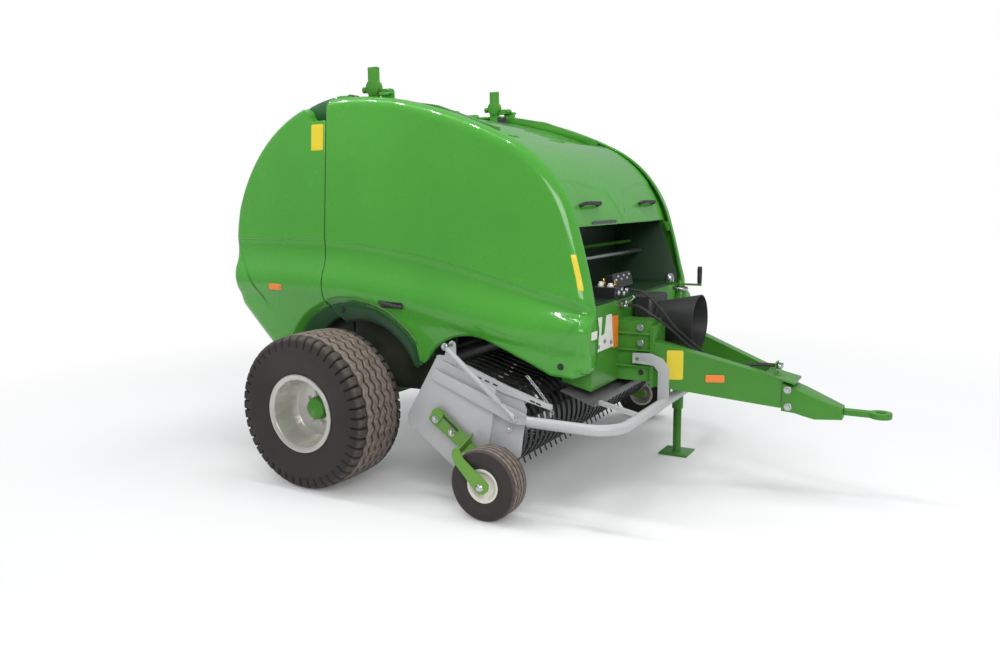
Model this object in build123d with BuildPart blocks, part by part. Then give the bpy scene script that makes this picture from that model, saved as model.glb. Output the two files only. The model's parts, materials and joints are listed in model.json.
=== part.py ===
"""Trailed round baler with a pickup, as an assembly of separate pieces.

Axes: +X forward to the hitch, +Y to the left, +Z up.  The origin is on the ground in the
middle of the machine's length.  Lengths along the machine are measured from the axle, and
every profile plane below starts there, so X values in the tables are distances from the axle.
"""
import os
from math import cos, radians, sin

from build123d import *

os.makedirs("parts", exist_ok=True)

# ---------------------------------------------------------------- driving dimensions (mm)
AXLE_X = -993            # the axle's place in the part's frame

WHEEL_R = 437            # main wheels, 400/60-15.5
WHEEL_Y = 1075
RIM_R = 197
AXLE_Z = WHEEL_R

GAUGE_X = 1130           # gauge wheels of the pickup, 15x6.00-6
GAUGE_Y = 1133
GAUGE_R = 185

SEAM_X = -100            # upright joint between the front covers and the tailgate
SEAM_GAP = 8
COVER_IN = 720           # inboard edge of the side covers
COVER_T = 12             # thickness of a cover's skin with its folds
DECK_Y = 713             # half width of the roof deck and the hood
WALL_Y = 625             # inner face of the bale chamber's side walls
WALL_T = 8

HINGE_X, HINGE_Z = -100, 2185      # tailgate hinge line
PICKUP_X, PICKUP_Z = 660, 600      # pickup lift pivot
REEL_X, REEL_Z = 1020, 400         # tine reel centre
REEL_TIP = 255
TINE_PITCH = 66
GUARD_X, GUARD_Z = 1627, 731       # wind guard pivot
DECK_Z, DECK_T = 2120, 10
COVER_HINGES = (-44, 262)          # places of the cover hinges along the deck
COVER_HINGE_Z = 2180
HOOD_X, HOOD_Z = 995, 1918         # hood hinge line
HOOD_HINGES = (-580, 0, 580)
KNUCKLE_R = 6.5
JACK_X, JACK_Y = 1622, 376
PTO_Z = 895
EYE_X, EYE_Z = 2815, 468
EYE_R, EYE_HOLE = 55, 25.5

SIDES = (("left", 1), ("right", -1))


def side_plane(y):
    """Side elevation at a given Y: local x forward from the axle, local y up, normal to -Y."""
    return Plane(origin=(AXLE_X, y, 0), x_dir=(1, 0, 0), z_dir=(0, -1, 0))


def front_plane(x):
    """Front elevation at a distance from the axle: local x to the left, local y up, normal +X."""
    return Plane(origin=(AXLE_X + x, 0, 0), x_dir=(0, 1, 0), z_dir=(1, 0, 0))


def top_plane(z):
    """Plan view at a height: local x forward from the axle, local y to the left, normal up."""
    return Plane(origin=(AXLE_X, 0, z))


def half_section(x):
    """Right half of a cross-section: local x outward to -Y, local y up."""
    return Plane(origin=(AXLE_X + x, 0, 0), x_dir=(0, -1, 0), z_dir=(-1, 0, 0))


def save(piece, label):
    """Name a finished piece and write its STEP file."""
    piece.part.label = label
    export_step(piece.part, f"parts/{label}.step")


# ---------------------------------------------------------------- side form of the covers
# station, half width at the top, at the crease, crease height, half width of the bulge
# and its height, half width at the foot
FORM = (
    (-1000, 745, 805, 1366, 850, 1118, 780),
    (-560, 790, 858, 1368, 904, 1118, 830),
    (-100, 800, 874, 1366, 920, 1112, 840),
    (430, 800, 870, 1312, 918, 1060, 840),
    (1000, 778, 842, 1190, 893, 960, 838),
    (1600, 740, 792, 1085, 872, 920, 838),
)


def side_section(station, top, crease, crease_z, bulge, bulge_z, foot, inset=0):
    """One cross-section of the side form, from the inboard line out to the skin."""
    inner = COVER_IN - 2 * inset
    flank = bulge - 25
    with BuildSketch(half_section(station)) as section:
        with BuildLine():
            Polyline((inner, 600), (inner, 2260), (top - inset, 2260), (crease - inset, crease_z))
            ThreePointArc(
                (crease - inset, crease_z),
                (crease - 4 - inset, crease_z - 70),
                (flank - inset, bulge_z + 95),
            )
            ThreePointArc(
                (flank - inset, bulge_z + 95), (bulge - inset, bulge_z), (flank - inset, bulge_z - 95)
            )
            Polyline((flank - inset, bulge_z - 95), (foot - inset, 600), (inner, 600))
        make_face()
    return section.sketch


def front_outline():
    """Side elevation of a front cover."""
    back = SEAM_X + SEAM_GAP / 2
    with BuildSketch(side_plane(0)) as outline:
        with BuildLine():
            ThreePointArc((back, 2170), (240, 2160), (560, 2095))
            ThreePointArc((560, 2095), (830, 2006), (1060, 1905))
            ThreePointArc((1060, 1905), (1272, 1745), (1424, 1487))
            ThreePointArc((1424, 1487), (1502, 1190), (1552, 930))
            Polyline((1552, 930), (1532, 712), (1450, 690), (1330, 697))
            ThreePointArc((1330, 697), (1125, 790), (960, 858))
            ThreePointArc((960, 858), (740, 848), (590, 725))
            Polyline((590, 725), (560, 697), (513, 702))
            ThreePointArc((513, 702), (300, 943), (back, 988))
            Line((back, 988), (back, 2170))
        make_face()
    return outline.sketch_local


def rear_outline():
    """Side elevation of the tailgate's covers."""
    front = SEAM_X - SEAM_GAP / 2
    with BuildSketch(side_plane(0)) as outline:
        with BuildLine():
            ThreePointArc((front, 2170), (-640, 1862), (-872, 1400))
            ThreePointArc((-872, 1400), (-886, 1180), (-846, 950))
            Polyline((-846, 950), (-600, 700), (-413, 700))
            ThreePointArc((-413, 700), (-320, 846), (front, 986))
            Line((front, 986), (front, 2170))
        make_face()
    return outline.sketch_local


def cover_body(outline, inset=0):
    """Side form trimmed to an outline, with both stepped inwards by the inset."""
    with BuildPart(mode=Mode.PRIVATE) as body:
        for row in FORM:
            add(side_section(*row, inset=inset))
        loft()
        with BuildSketch(side_plane(0)):
            add(outline)
            if inset:
                offset(amount=-inset, kind=Kind.INTERSECTION, mode=Mode.REPLACE)
        extrude(amount=1200, mode=Mode.INTERSECT)
    return body.part


# ---------------------------------------------------------------- covers
with BuildPart() as cover_right:
    add(cover_body(front_outline()))
    add(cover_body(front_outline(), inset=COVER_T), mode=Mode.SUBTRACT)
    for x in COVER_HINGES:
        # middle knuckle and its leaf
        with BuildSketch(front_plane(x - 20)):
            with Locations((-COVER_IN, COVER_HINGE_Z)):
                Circle(KNUCKLE_R)
            with Locations((-COVER_IN - 13, 2165)):
                Rectangle(26, 26)
        extrude(amount=40)

with BuildPart() as cover_left:
    mirror(cover_right.part, about=Plane.XZ)

with BuildPart() as tailgate_cover_right:
    add(cover_body(rear_outline()))
    add(cover_body(rear_outline(), inset=COVER_T), mode=Mode.SUBTRACT)

with BuildPart() as tailgate_cover_left:
    mirror(tailgate_cover_right.part, about=Plane.XZ)

save(cover_right, "cover_right")
save(cover_left, "cover_left")
save(tailgate_cover_right, "tailgate_cover_right")
save(tailgate_cover_left, "tailgate_cover_left")

# ---------------------------------------------------------------- bale chamber, front part
with BuildPart() as chamber_walls:
    with BuildSketch(side_plane(0)):
        with BuildLine():
            Polyline((-92, 2075), (350, 2070), (700, 1980), (1040, 1840), (1040, 1040), (1330, 1040),
                     (1330, 900), (650, 900), (632, 690), (700, 640), (700, 560), (560, 487), (-92, 487),
                     close=True)
        make_face()
        with Locations((PICKUP_X, PICKUP_Z)):
            Circle(19, mode=Mode.SUBTRACT)
    extrude(amount=WALL_Y + WALL_T, both=True)
    with BuildSketch(side_plane(0)):
        with Locations((500, 1200)):
            Rectangle(3000, 3000)
    extrude(amount=WALL_Y, both=True, mode=Mode.SUBTRACT)
    # cross members: x, z, length, height
    for x, z, length, height in ((-60, 2050, 60, 50), (1010, 1060, 60, 40), (1300, 970, 60, 60),
                                 (470, 517, 80, 60), (1000, 1800, 50, 50)):
        with BuildSketch(side_plane(0)):
            with Locations((x, z)):
                Rectangle(length, height)
        extrude(amount=WALL_Y, both=True)
save(chamber_walls, "chamber_walls")

with BuildPart() as axle_beam:
    with BuildSketch(side_plane(0)):
        with Locations((0, AXLE_Z)):
            Rectangle(100, 100)
    extrude(amount=860, both=True)
    with BuildSketch(side_plane(0)):
        with Locations((0, AXLE_Z)):
            Circle(35)
    extrude(amount=WHEEL_Y - 10, both=True)
save(axle_beam, "axle_beam")

with BuildPart() as chamber_rollers:
    # roller centre x, z, radius
    for x, z, radius in ((880, 1010, 95), (930, 1400, 80), (760, 1780, 70), (330, 1960, 60), (240, 640, 100)):
        with BuildSketch(side_plane(0)):
            with Locations((x, z)):
                Circle(radius)
        extrude(amount=WALL_Y - 8, both=True)
        with BuildSketch(side_plane(0)):
            with Locations((x, z)):
                Circle(22)
        extrude(amount=WALL_Y, both=True)
save(chamber_rollers, "chamber_rollers")

# ---------------------------------------------------------------- roof deck, tension rails, posts
with BuildPart() as roof_deck:
    with BuildSketch(side_plane(0)):
        with BuildLine():
            Line((-92, DECK_Z), (200, DECK_Z))
            ThreePointArc((200, DECK_Z), (600, 2042), (985, 1905))
            Line((985, 1905), (985, 1905 - DECK_T))
            ThreePointArc((985, 1905 - DECK_T), (600, 2042 - DECK_T), (200, DECK_Z - DECK_T))
            Polyline((200, DECK_Z - DECK_T), (-92, DECK_Z - DECK_T), (-92, DECK_Z))
        make_face()
    extrude(amount=DECK_Y, both=True)
    for sign in (1, -1):
        # stands with the outer knuckles of the cover hinges
        for x in COVER_HINGES:
            with BuildSketch(side_plane(sign * 705)):
                with Locations((x, 2151)):
                    Rectangle(84, 76)
            extrude(amount=6, both=True)
            with BuildSketch(side_plane(sign * 715)):
                for dx in (-32, 32):
                    with Locations((x + dx, 2180)):
                        Rectangle(20, 13)
            extrude(amount=6, both=True)
            for dx in (-42, 22):
                with BuildSketch(front_plane(x + dx)):
                    with Locations((sign * COVER_IN, COVER_HINGE_Z)):
                        Circle(KNUCKLE_R)
                extrude(amount=20)
    for y in HOOD_HINGES:
        # straps and outer knuckles of the hood hinges
        for dy in (-33, 33):
            with BuildSketch(side_plane(y + dy)):
                with BuildLine():
                    Polyline((930, 1924), (940, 1934), (HOOD_X, HOOD_Z + 8), (HOOD_X, HOOD_Z - 6), (985, 1900),
                             (960, 1905), close=True)
                make_face()
                with Locations((HOOD_X, HOOD_Z)):
                    Circle(8)
            extrude(amount=10, both=True)
save(roof_deck, "roof_deck")

RAIL_Y, RAIL_W = 660, 50
POST_X = 152
for side, sign in SIDES:
    with BuildPart() as rail:
        with BuildSketch(side_plane(sign * RAIL_Y)):
            with BuildLine():
                Polyline((205, 2165), (560, 2104), (940, 1968), (940, 1880), (205, 2060), close=True)
            make_face()
        extrude(amount=RAIL_W / 2, both=True)
        with BuildSketch(side_plane(sign * RAIL_Y)):
            with BuildLine():
                Line((200, DECK_Z), (200, 1800))
                Polyline((200, 1800), (985, 1800), (985, 1905))
                ThreePointArc((985, 1905), (600, 2042), (200, DECK_Z))
            make_face()
        extrude(amount=RAIL_W, both=True, mode=Mode.SUBTRACT)
    save(rail, f"tension_rail_{side}")
    with BuildPart() as post:
        with BuildSketch(top_plane(DECK_Z)):
            with Locations((POST_X, sign * 686)):
                Rectangle(90, 48)
        extrude(amount=10)
        with BuildSketch(top_plane(DECK_Z + 10)):
            with Locations((POST_X, sign * 686)):
                Rectangle(60, 30)
        extrude(amount=2333 - DECK_Z - 10)
        with BuildSketch(side_plane(sign * 686)):
            with Locations((POST_X, 2220)):
                Circle(45)
        extrude(amount=20, both=True)
    save(post, f"roof_post_{side}")

# ---------------------------------------------------------------- tailgate hinge
with BuildPart() as hinge_brackets:
    for side, sign in SIDES:
        with BuildSketch(side_plane(sign * 560)):
            with BuildLine():
                Polyline((HINGE_X - 26, HINGE_Z), (HINGE_X + 12, DECK_Z), (HINGE_X + 120, DECK_Z),
                         (HINGE_X + 26, HINGE_Z + 4))
                ThreePointArc((HINGE_X + 26, HINGE_Z + 4), (HINGE_X, HINGE_Z + 27), (HINGE_X - 26, HINGE_Z))
            make_face()
        extrude(amount=8, both=True)
        with BuildSketch(side_plane(sign * 560)):
            with Locations((HINGE_X, HINGE_Z)):
                Circle(14)
        extrude(amount=45, both=True)
save(hinge_brackets, "hinge_brackets")

with BuildPart() as tailgate_frame:
    with BuildSketch(side_plane(0)):
        with BuildLine():
            Line((-108, 2090), (-108, 640))
            Polyline((-108, 640), (-380, 640), (-700, 900))
            ThreePointArc((-700, 900), (-800, 1330), (-560, 1830))
            ThreePointArc((-560, 1830), (-360, 2010), (-108, 2090))
        make_face()
    extrude(amount=WALL_Y + WALL_T, both=True)
    with BuildSketch(side_plane(0)):
        with Locations((500, 1200)):
            Rectangle(4000, 3000)
    extrude(amount=WALL_Y, both=True, mode=Mode.SUBTRACT)
    for x, z, length, height in ((-150, 2040, 60, 60), (-735, 1000, 40, 60), (-330, 670, 60, 50)):
        with BuildSketch(side_plane(0)):
            with Locations((x, z)):
                Rectangle(length, height)
        extrude(amount=WALL_Y, both=True)
    for side, sign in SIDES:
        for y in (532, 588):
            with BuildSketch(side_plane(sign * y)):
                with BuildLine():
                    Polyline((-180, 2040), (-125, 2040), (-112, 2110), (HINGE_X - 20, 2150),
                             (HINGE_X + 22, HINGE_Z - 12))
                    ThreePointArc((HINGE_X + 22, HINGE_Z - 12), (HINGE_X, HINGE_Z + 26), (HINGE_X - 24, HINGE_Z))
                    Line((HINGE_X - 24, HINGE_Z), (-180, 2040))
                make_face()
                with Locations((HINGE_X, HINGE_Z)):
                    Circle(15, mode=Mode.SUBTRACT)
            extrude(amount=8, both=True)
save(tailgate_frame, "tailgate_frame")

with BuildPart() as tailgate_back:
    with BuildSketch(side_plane(0)):
        with BuildLine():
            ThreePointArc((-190, 2120), (-600, 1840), (-830, 1400))
            Polyline((-830, 1400), (-838, 1180), (-828, 1180), (-820, 1400))
            ThreePointArc((-820, 1400), (-592, 1832), (-186, 2110))
            Line((-186, 2110), (-190, 2120))
        make_face()
    extrude(amount=DECK_Y, both=True)
save(tailgate_back, "tailgate_back")

with BuildPart() as tailgate_rollers:
    for x, z, radius in ((-610, 1040, 60), (-330, 770, 70), (-640, 1560, 50)):
        with BuildSketch(side_plane(0)):
            with Locations((x, z)):
                Circle(radius)
        extrude(amount=WALL_Y - 8, both=True)
        with BuildSketch(side_plane(0)):
            with Locations((x, z)):
                Circle(22)
        extrude(amount=WALL_Y, both=True)
save(tailgate_rollers, "tailgate_rollers")

# ---------------------------------------------------------------- hood and net compartment
with BuildPart() as hood:
    with BuildSketch(side_plane(0)):
        with BuildLine():
            ThreePointArc((995, 1916), (1230, 1752), (1400, 1449))
            Line((1400, 1449), (1388, 1445))
            ThreePointArc((1388, 1445), (1220, 1743), (990, 1905))
            Line((990, 1905), (995, 1916))
        make_face()
    extrude(amount=DECK_Y, both=True)
    for y in HOOD_HINGES:
        # middle knuckle, in a notch that clears the deck's knuckles
        with BuildSketch(side_plane(y)):
            with Locations((HOOD_X, HOOD_Z)):
                Rectangle(40, 60)
        extrude(amount=46, both=True, mode=Mode.SUBTRACT)
        with BuildSketch(side_plane(y)):
            with Locations((HOOD_X, HOOD_Z)):
                Circle(8)
            with Locations((1008, 1910)):
                Rectangle(34, 9)
        extrude(amount=20, both=True)
save(hood, "hood")

with BuildPart() as net_compartment:
    with BuildSketch(side_plane(0)):
        with BuildLine():
            Polyline((1045, 1041), (1500, 1041), (1500, 1100), (1375, 1435))
            ThreePointArc((1375, 1435), (1215, 1725), (1045, 1850))
            Line((1045, 1850), (1045, 1041))
        make_face()
    extrude(amount=700, both=True)
    with BuildSketch(side_plane(0)):
        with BuildLine():
            Polyline((1055, 1053), (1600, 1053), (1600, 2000), (1055, 2000), close=True)
        make_face()
    extrude(amount=690, both=True, mode=Mode.SUBTRACT)
save(net_compartment, "net_compartment")

# ---------------------------------------------------------------- front frame, gearbox, drawbar
with BuildPart() as front_frame:
    with BuildSketch(side_plane(0)):
        with BuildLine():
            Polyline((1331, 1040), (1331, 640), (1500, 600), (1500, 1040), close=True)
        make_face()
    extrude(amount=700, both=True)
    with BuildSketch(side_plane(0)):
        with BuildLine():
            Polyline((1300, 1030), (1300, 500), (1490, 500), (1490, 1030), close=True)
        make_face()
    extrude(amount=690, both=True, mode=Mode.SUBTRACT)
    with BuildSketch(front_plane(1500)):
        with BuildLine():
            Polyline((-330, 600), (330, 600), (330, 930), (170, 930), (170, 740), (-170, 740),
                     (-170, 930), (-330, 930), close=True)
        make_face()
    extrude(amount=189)
    with BuildSketch(top_plane(600)):
        with Locations((1600, 0)):
            Rectangle(170, 630)
    extrude(amount=120, mode=Mode.SUBTRACT)
    for z in (680, 770, 860):
        with BuildSketch(top_plane(z)):
            with Locations((1594.5, -342)):
                Rectangle(189, 24)
            with Locations((1535, 342)):
                Rectangle(70, 24)
        extrude(amount=10)
    with BuildSketch(side_plane(-330)):
        with Locations((GUARD_X, GUARD_Z)):
            Circle(9.5)
    extrude(amount=50)
save(front_frame, "front_frame")

with BuildPart() as gearbox:
    with BuildSketch(top_plane(741)):
        with Locations((1565, 0)):
            RectangleRounded(125, 280, 30)
    extrude(amount=300)
save(gearbox, "gearbox")

with BuildPart() as pto_guard:
    with BuildSketch(side_plane(0)):
        with BuildLine():
            Polyline((1640, PTO_Z + 112), (1858, PTO_Z + 155), (1858, PTO_Z + 150), (1645, PTO_Z + 107),
                     (1645, PTO_Z + 60), (1629, PTO_Z + 60), (1629, PTO_Z + 112), close=True)
        make_face()
    revolve(axis=Axis((AXLE_X, 0, PTO_Z), (1, 0, 0)))
save(pto_guard, "pto_guard")

with BuildPart() as pto_shaft:
    with BuildSketch(front_plane(1629)):
        with Locations((0, PTO_Z)):
            Circle(17.5)
    extrude(amount=140)
    with BuildSketch(front_plane(1629)):
        with Locations((0, PTO_Z)):
            Circle(30)
    extrude(amount=25)
save(pto_shaft, "pto_shaft")

with BuildPart() as drawbar:
    with BuildSketch(front_plane(1690)):
        with BuildLine():
            Polyline((-355, 575), (355, 575), (355, 905), (165, 905), (165, 740), (-165, 740),
                     (-165, 905), (-355, 905), close=True)
        make_face()
    extrude(amount=20)
    for sign in (1, -1):
        with BuildSketch(front_plane(1709)):
            with Locations((sign * 290, 700)):
                Rectangle(80, 245)
        with BuildSketch(front_plane(2330)):
            with Locations((sign * 58, 552)):
                Rectangle(64, 160)
        loft()
    with BuildSketch(side_plane(0)):
        with BuildLine():
            Polyline((2240, 655), (2400, 617), (2400, 607), (2240, 645), close=True)
        make_face()
    extrude(amount=100, both=True)
save(drawbar, "drawbar")

with BuildPart() as hitch_adapter:
    with BuildSketch(side_plane(0)):
        with BuildLine():
            Polyline((2332, 455), (2332, 606), (2636, 492), (2636, 430), (2500, 424), (2405, 450), close=True)
        make_face()
    extrude(amount=85, both=True)
    with BuildSketch(top_plane(400)):
        with BuildLine():
            Polyline((2420, 90), (2640, 40), (2640, 200), (2420, 200), close=True)
        make_face()
        mirror(about=Plane.XZ)
    extrude(amount=300, mode=Mode.SUBTRACT)
save(hitch_adapter, "hitch_adapter")

with BuildPart() as hitch_eye:
    with BuildSketch(top_plane(EYE_Z - 15)):
        with Locations((EYE_X, 0)):
            Circle(EYE_R)
        with Locations(((EYE_X + 2637) / 2, 0)):
            Rectangle(EYE_X - 2637, 50)
        with Locations((EYE_X, 0)):
            Circle(EYE_HOLE, mode=Mode.SUBTRACT)
    extrude(amount=30)
save(hitch_eye, "hitch_eye")

# ---------------------------------------------------------------- jack
with BuildPart() as jack_sleeve:
    with BuildSketch(top_plane(290)):
        with Locations((JACK_X, JACK_Y)):
            Circle(34)
            Circle(28, mode=Mode.SUBTRACT)
    extrude(amount=740)
    for z in (650, 870):
        with BuildSketch(top_plane(z)):
            with Locations((JACK_X, 340)):
                Rectangle(44, 20)
        extrude(amount=40)
    with BuildSketch(side_plane(JACK_Y + 32)):
        with Locations((GUARD_X, GUARD_Z)):
            Circle(9.5)
    extrude(amount=-28)
    with BuildSketch(top_plane(1030)):
        with Locations((JACK_X, JACK_Y)):
            Circle(34)
    extrude(amount=20)
    with BuildSketch(top_plane(1050)):
        with Locations((JACK_X, JACK_Y)):
            Circle(12)
    extrude(amount=40)
    with BuildSketch(top_plane(1060)):
        with Locations((JACK_X + 20, JACK_Y)):
            Rectangle(220, 16)
    extrude(amount=12)
    with BuildSketch(top_plane(1072)):
        with Locations((JACK_X + 118, JACK_Y)):
            Circle(12)
    extrude(amount=100)
save(jack_sleeve, "jack_sleeve")

with BuildPart() as jack_leg:
    with BuildSketch(top_plane(0)):
        with Locations((JACK_X, JACK_Y)):
            Rectangle(180, 180)
    extrude(amount=12)
    with BuildSketch(top_plane(12)):
        with Locations((JACK_X, JACK_Y)):
            Circle(25)
    extrude(amount=680)
save(jack_leg, "jack_leg")

# ---------------------------------------------------------------- main wheels
for side, sign in SIDES:
    axis = Axis((AXLE_X, 0, AXLE_Z), (0, 1, 0))
    y = sign * WHEEL_Y
    with BuildPart() as tyre:
        with BuildSketch(Plane(origin=(AXLE_X, y, AXLE_Z), x_dir=(0, sign, 0), z_dir=(sign, 0, 0))):
            with BuildLine():
                Polyline(
                    (-172, RIM_R + 1), (172, RIM_R + 1), (172, 222), (192, 262), (200, 320), (192, 372),
                    (170, 412), (140, 431), (60, WHEEL_R), (-60, WHEEL_R), (-140, 431), (-170, 412),
                    (-192, 372), (-200, 320), (-192, 262), (-172, 222), close=True,
                )
            make_face()
        revolve(axis=axis)
    save(tyre, f"tyre_{side}")
    with BuildPart() as rim:
        with BuildSketch(Plane(origin=(AXLE_X, y, AXLE_Z), x_dir=(0, sign, 0), z_dir=(sign, 0, 0))):
            with BuildLine():
                Polyline((-186, 221), (-173, 221), (-173, RIM_R), (173, RIM_R), (173, 221), (186, 221),
                         (186, 214), (180, 190), (60, 182), (20, 160), (20, 60), (8, 60), (8, 170),
                         (-180, 190), (-186, 214), close=True)
            make_face()
        revolve(axis=axis)
    save(rim, f"rim_{side}")
    with BuildPart() as hub:
        with BuildSketch(Plane(origin=(AXLE_X, y, AXLE_Z), x_dir=(0, sign, 0), z_dir=(sign, 0, 0))):
            with BuildLine():
                Polyline((-190, 41), (-190, 85), (-10, 85), (-10, 100), (8, 100), (8, 59), (45, 59),
                         (53, 45), (53, 0), (0, 0), (0, 41), close=True)
            make_face()
        revolve(axis=axis)
    save(hub, f"hub_{side}")

# ---------------------------------------------------------------- pickup
BAND_R = 215
SHIELD_Y = 985
with BuildPart() as pickup_frame:
    for sign in (1, -1):
        # inner plate and outer plate of the side shields
        with BuildSketch(side_plane(sign * (SHIELD_Y + 4))):
            with BuildLine():
                Polyline((560, 400), (560, 448), (750, 770), (800, 760), (1250, 600), (1272, 545),
                         (1235, 295), (1130, 215), (850, 172), close=True)
            make_face()
            with Locations((REEL_X, REEL_Z)):
                Circle(18, mode=Mode.SUBTRACT)
        extrude(amount=4, both=True)
        with BuildSketch(side_plane(sign * (SHIELD_Y + 20))):
            with BuildLine():
                Polyline((560, 400), (560, 448), (750, 770), (800, 760), (1110, 640), (1080, 420),
                         (1060, 330), (850, 190), close=True)
            make_face()
        extrude(amount=12, both=True)
        with BuildSketch(side_plane(sign * 606)):
            with BuildLine():
                Polyline((655, 385), (722, 385), (700, 620), (620, 620), (620, 560), close=True)
            make_face()
            with Locations((PICKUP_X, PICKUP_Z)):
                Circle(12, mode=Mode.SUBTRACT)
        extrude(amount=8, both=True)
        with BuildSketch(side_plane(sign * 622)):
            with Locations((PICKUP_X, PICKUP_Z)):
                Circle(17)
        extrude(amount=24, both=True)
    with BuildSketch(side_plane(0)):
        with Locations((688, 420)):
            Circle(35)
    extrude(amount=SHIELD_Y, both=True)
save(pickup_frame, "pickup_frame")

with BuildPart() as stripper_bands:
    with BuildSketch(side_plane(0)):
        with BuildLine():
            l1 = ThreePointArc((REEL_X, REEL_Z - BAND_R), (REEL_X + BAND_R, REEL_Z), (REEL_X, REEL_Z + BAND_R))
            l2 = Line((REEL_X, REEL_Z + BAND_R), (716, 700))
            l3 = Line((716, 700), (716, 692))
            l4 = Line((716, 692), (REEL_X, REEL_Z + BAND_R - 6))
            l5 = ThreePointArc((REEL_X, REEL_Z + BAND_R - 6), (REEL_X + BAND_R - 6, REEL_Z), (REEL_X, REEL_Z - BAND_R + 6))
            l6 = Line((REEL_X, REEL_Z - BAND_R + 6), (862, 186))
            l7 = Line((862, 186), (862, 180))
            l8 = Line((862, 180), (REEL_X, REEL_Z - BAND_R))
        make_face()
    extrude(amount=941, both=True)
    for i in range(28):
        with BuildSketch(side_plane((i - 13.5) * TINE_PITCH)):
            with Locations((1000, 450)):
                Rectangle(900, 900)
        extrude(amount=16, both=True, mode=Mode.SUBTRACT)
    # cross bars that carry the bands: x, z
    for x, z in ((714, 696), (862, 182)):
        with BuildSketch(side_plane(0)):
            with Locations((x, z)):
                Rectangle(14, 14)
        extrude(amount=SHIELD_Y, both=True)
save(stripper_bands, "stripper_bands")

with BuildPart() as pickup_reel:
    with BuildSketch(side_plane(0)):
        with Locations((REEL_X, REEL_Z)):
            Circle(40)
    extrude(amount=975, both=True)
    with BuildSketch(side_plane(0)):
        with Locations((REEL_X, REEL_Z)):
            Circle(17)
    extrude(amount=SHIELD_Y + 6, both=True)
    for k in range(4):
        a = radians(90 * k + 20)
        with BuildSketch(side_plane(0)):
            with Locations((REEL_X + 150 * cos(a), REEL_Z + 150 * sin(a))):
                Circle(13)
        extrude(amount=965, both=True)
    for y in (-965, 0, 965):
        with BuildSketch(side_plane(y)):
            with Locations((REEL_X, REEL_Z)):
                Circle(170)
        extrude(amount=4, both=True)
    for k in range(4):
        a = radians(90 * k + 20)
        with BuildSketch(Plane(origin=(AXLE_X + REEL_X, 0, REEL_Z), x_dir=(0, 1, 0), z_dir=(cos(a), 0, sin(a))).offset(155)):
            with GridLocations(TINE_PITCH, 1, 28, 1):
                Rectangle(7, 7)
        extrude(amount=REEL_TIP - 155)
save(pickup_reel, "pickup_reel")

for side, sign in SIDES:
    with BuildPart() as bracket:
        with BuildSketch(side_plane(sign * 1045)):
            with BuildLine():
                Polyline((735, 500), (790, 500), (1150, 215), (1150, 160), (1105, 160), (735, 430), close=True)
            make_face()
        extrude(amount=6, both=True)
        with BuildSketch(side_plane(sign * 1222)):
            with BuildLine():
                Polyline((930, 340), (960, 360), (1150, 215), (1150, 165), (1110, 160), (930, 305), close=True)
            make_face()
        extrude(amount=6, both=True)
        with BuildSketch(side_plane(sign * 1133)):
            with BuildLine():
                Polyline((930, 305), (930, 340), (950, 350), (950, 300), close=True)
            make_face()
        extrude(amount=94, both=True)
        with BuildSketch(side_plane(sign * 1133)):
            with Locations((GAUGE_X, GAUGE_R)):
                Circle(12)
        extrude(amount=94, both=True)
        for x, z in ((765, 465), (840, 410)):
            with BuildSketch(side_plane(sign * 1028)):
                with Locations((x, z)):
                    Circle(14)
            extrude(amount=11, both=True)
    save(bracket, f"gauge_bracket_{side}")
    axis = Axis((AXLE_X + GAUGE_X, 0, GAUGE_R), (0, 1, 0))
    place = Plane(origin=(AXLE_X + GAUGE_X, sign * GAUGE_Y, GAUGE_R), x_dir=(0, sign, 0), z_dir=(sign, 0, 0))
    with BuildPart() as gauge_tyre:
        with BuildSketch(place):
            with BuildLine():
                Polyline(
                    (-60, 78), (60, 78), (62, 95), (75, 120), (74, 148), (55, 172), (25, GAUGE_R),
                    (-25, GAUGE_R), (-55, 172), (-74, 148), (-75, 120), (-62, 95), close=True,
                )
            make_face()
        revolve(axis=axis)
    save(gauge_tyre, f"gauge_tyre_{side}")
    with BuildPart() as gauge_rim:
        with BuildSketch(place):
            with BuildLine():
                Polyline((-76, 14), (76, 14), (76, 30), (45, 30), (45, 60), (66, 76), (66, 88), (62, 88),
                         (60, 77), (-60, 77), (-62, 88), (-66, 88), (-66, 72), (25, 60), (25, 30),
                         (-76, 30), close=True)
            make_face()
        revolve(axis=axis)
    save(gauge_rim, f"gauge_rim_{side}")

# ---------------------------------------------------------------- wind guard
TUBE_R = 28
with BuildPart() as wind_guard:
    with BuildLine() as path:
        FilletPolyline(
            (AXLE_X + 1310, -1045, 500), (AXLE_X + 1775, -1045, 500),
            (AXLE_X + 1775, 1045, 500), (AXLE_X + 1310, 1045, 500), radius=150,
        )
    with BuildSketch(Plane(origin=(AXLE_X + 1310, -1045, 500), x_dir=(0, 1, 0), z_dir=(1, 0, 0))):
        Circle(TUBE_R)
    sweep(path=path.line)
    for sign in (1, -1):
        # stays between the tube and the deflector plate
        with BuildSketch(side_plane(sign * 700)):
            with BuildLine():
                Polyline((1545, 540), (1545, 560), (1760, 515), (1760, 495), close=True)
            make_face()
        extrude(amount=15, both=True)
    for y in (-372, 427):
        with BuildSketch(side_plane(y)):
            with BuildLine():
                Polyline((1600, 760), (1700, 765), (1770, 740), (1805, 690), (1805, 500), (1745, 500),
                         (1745, 670), (1720, 700), (1640, 705), (1600, 705), close=True)
            make_face()
            with Locations((GUARD_X, GUARD_Z)):
                Circle(10, mode=Mode.SUBTRACT)
        extrude(amount=5, both=True)
    for sign in (1, -1):
        # side arm back to the shield
        with BuildSketch(side_plane(sign * 1045)):
            with BuildLine():
                Polyline((745, 700), (765, 715), (1330, 520), (1330, 485), (1225, 480), (745, 665), close=True)
            make_face()
        extrude(amount=4, both=True)
save(wind_guard, "wind_guard")

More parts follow.
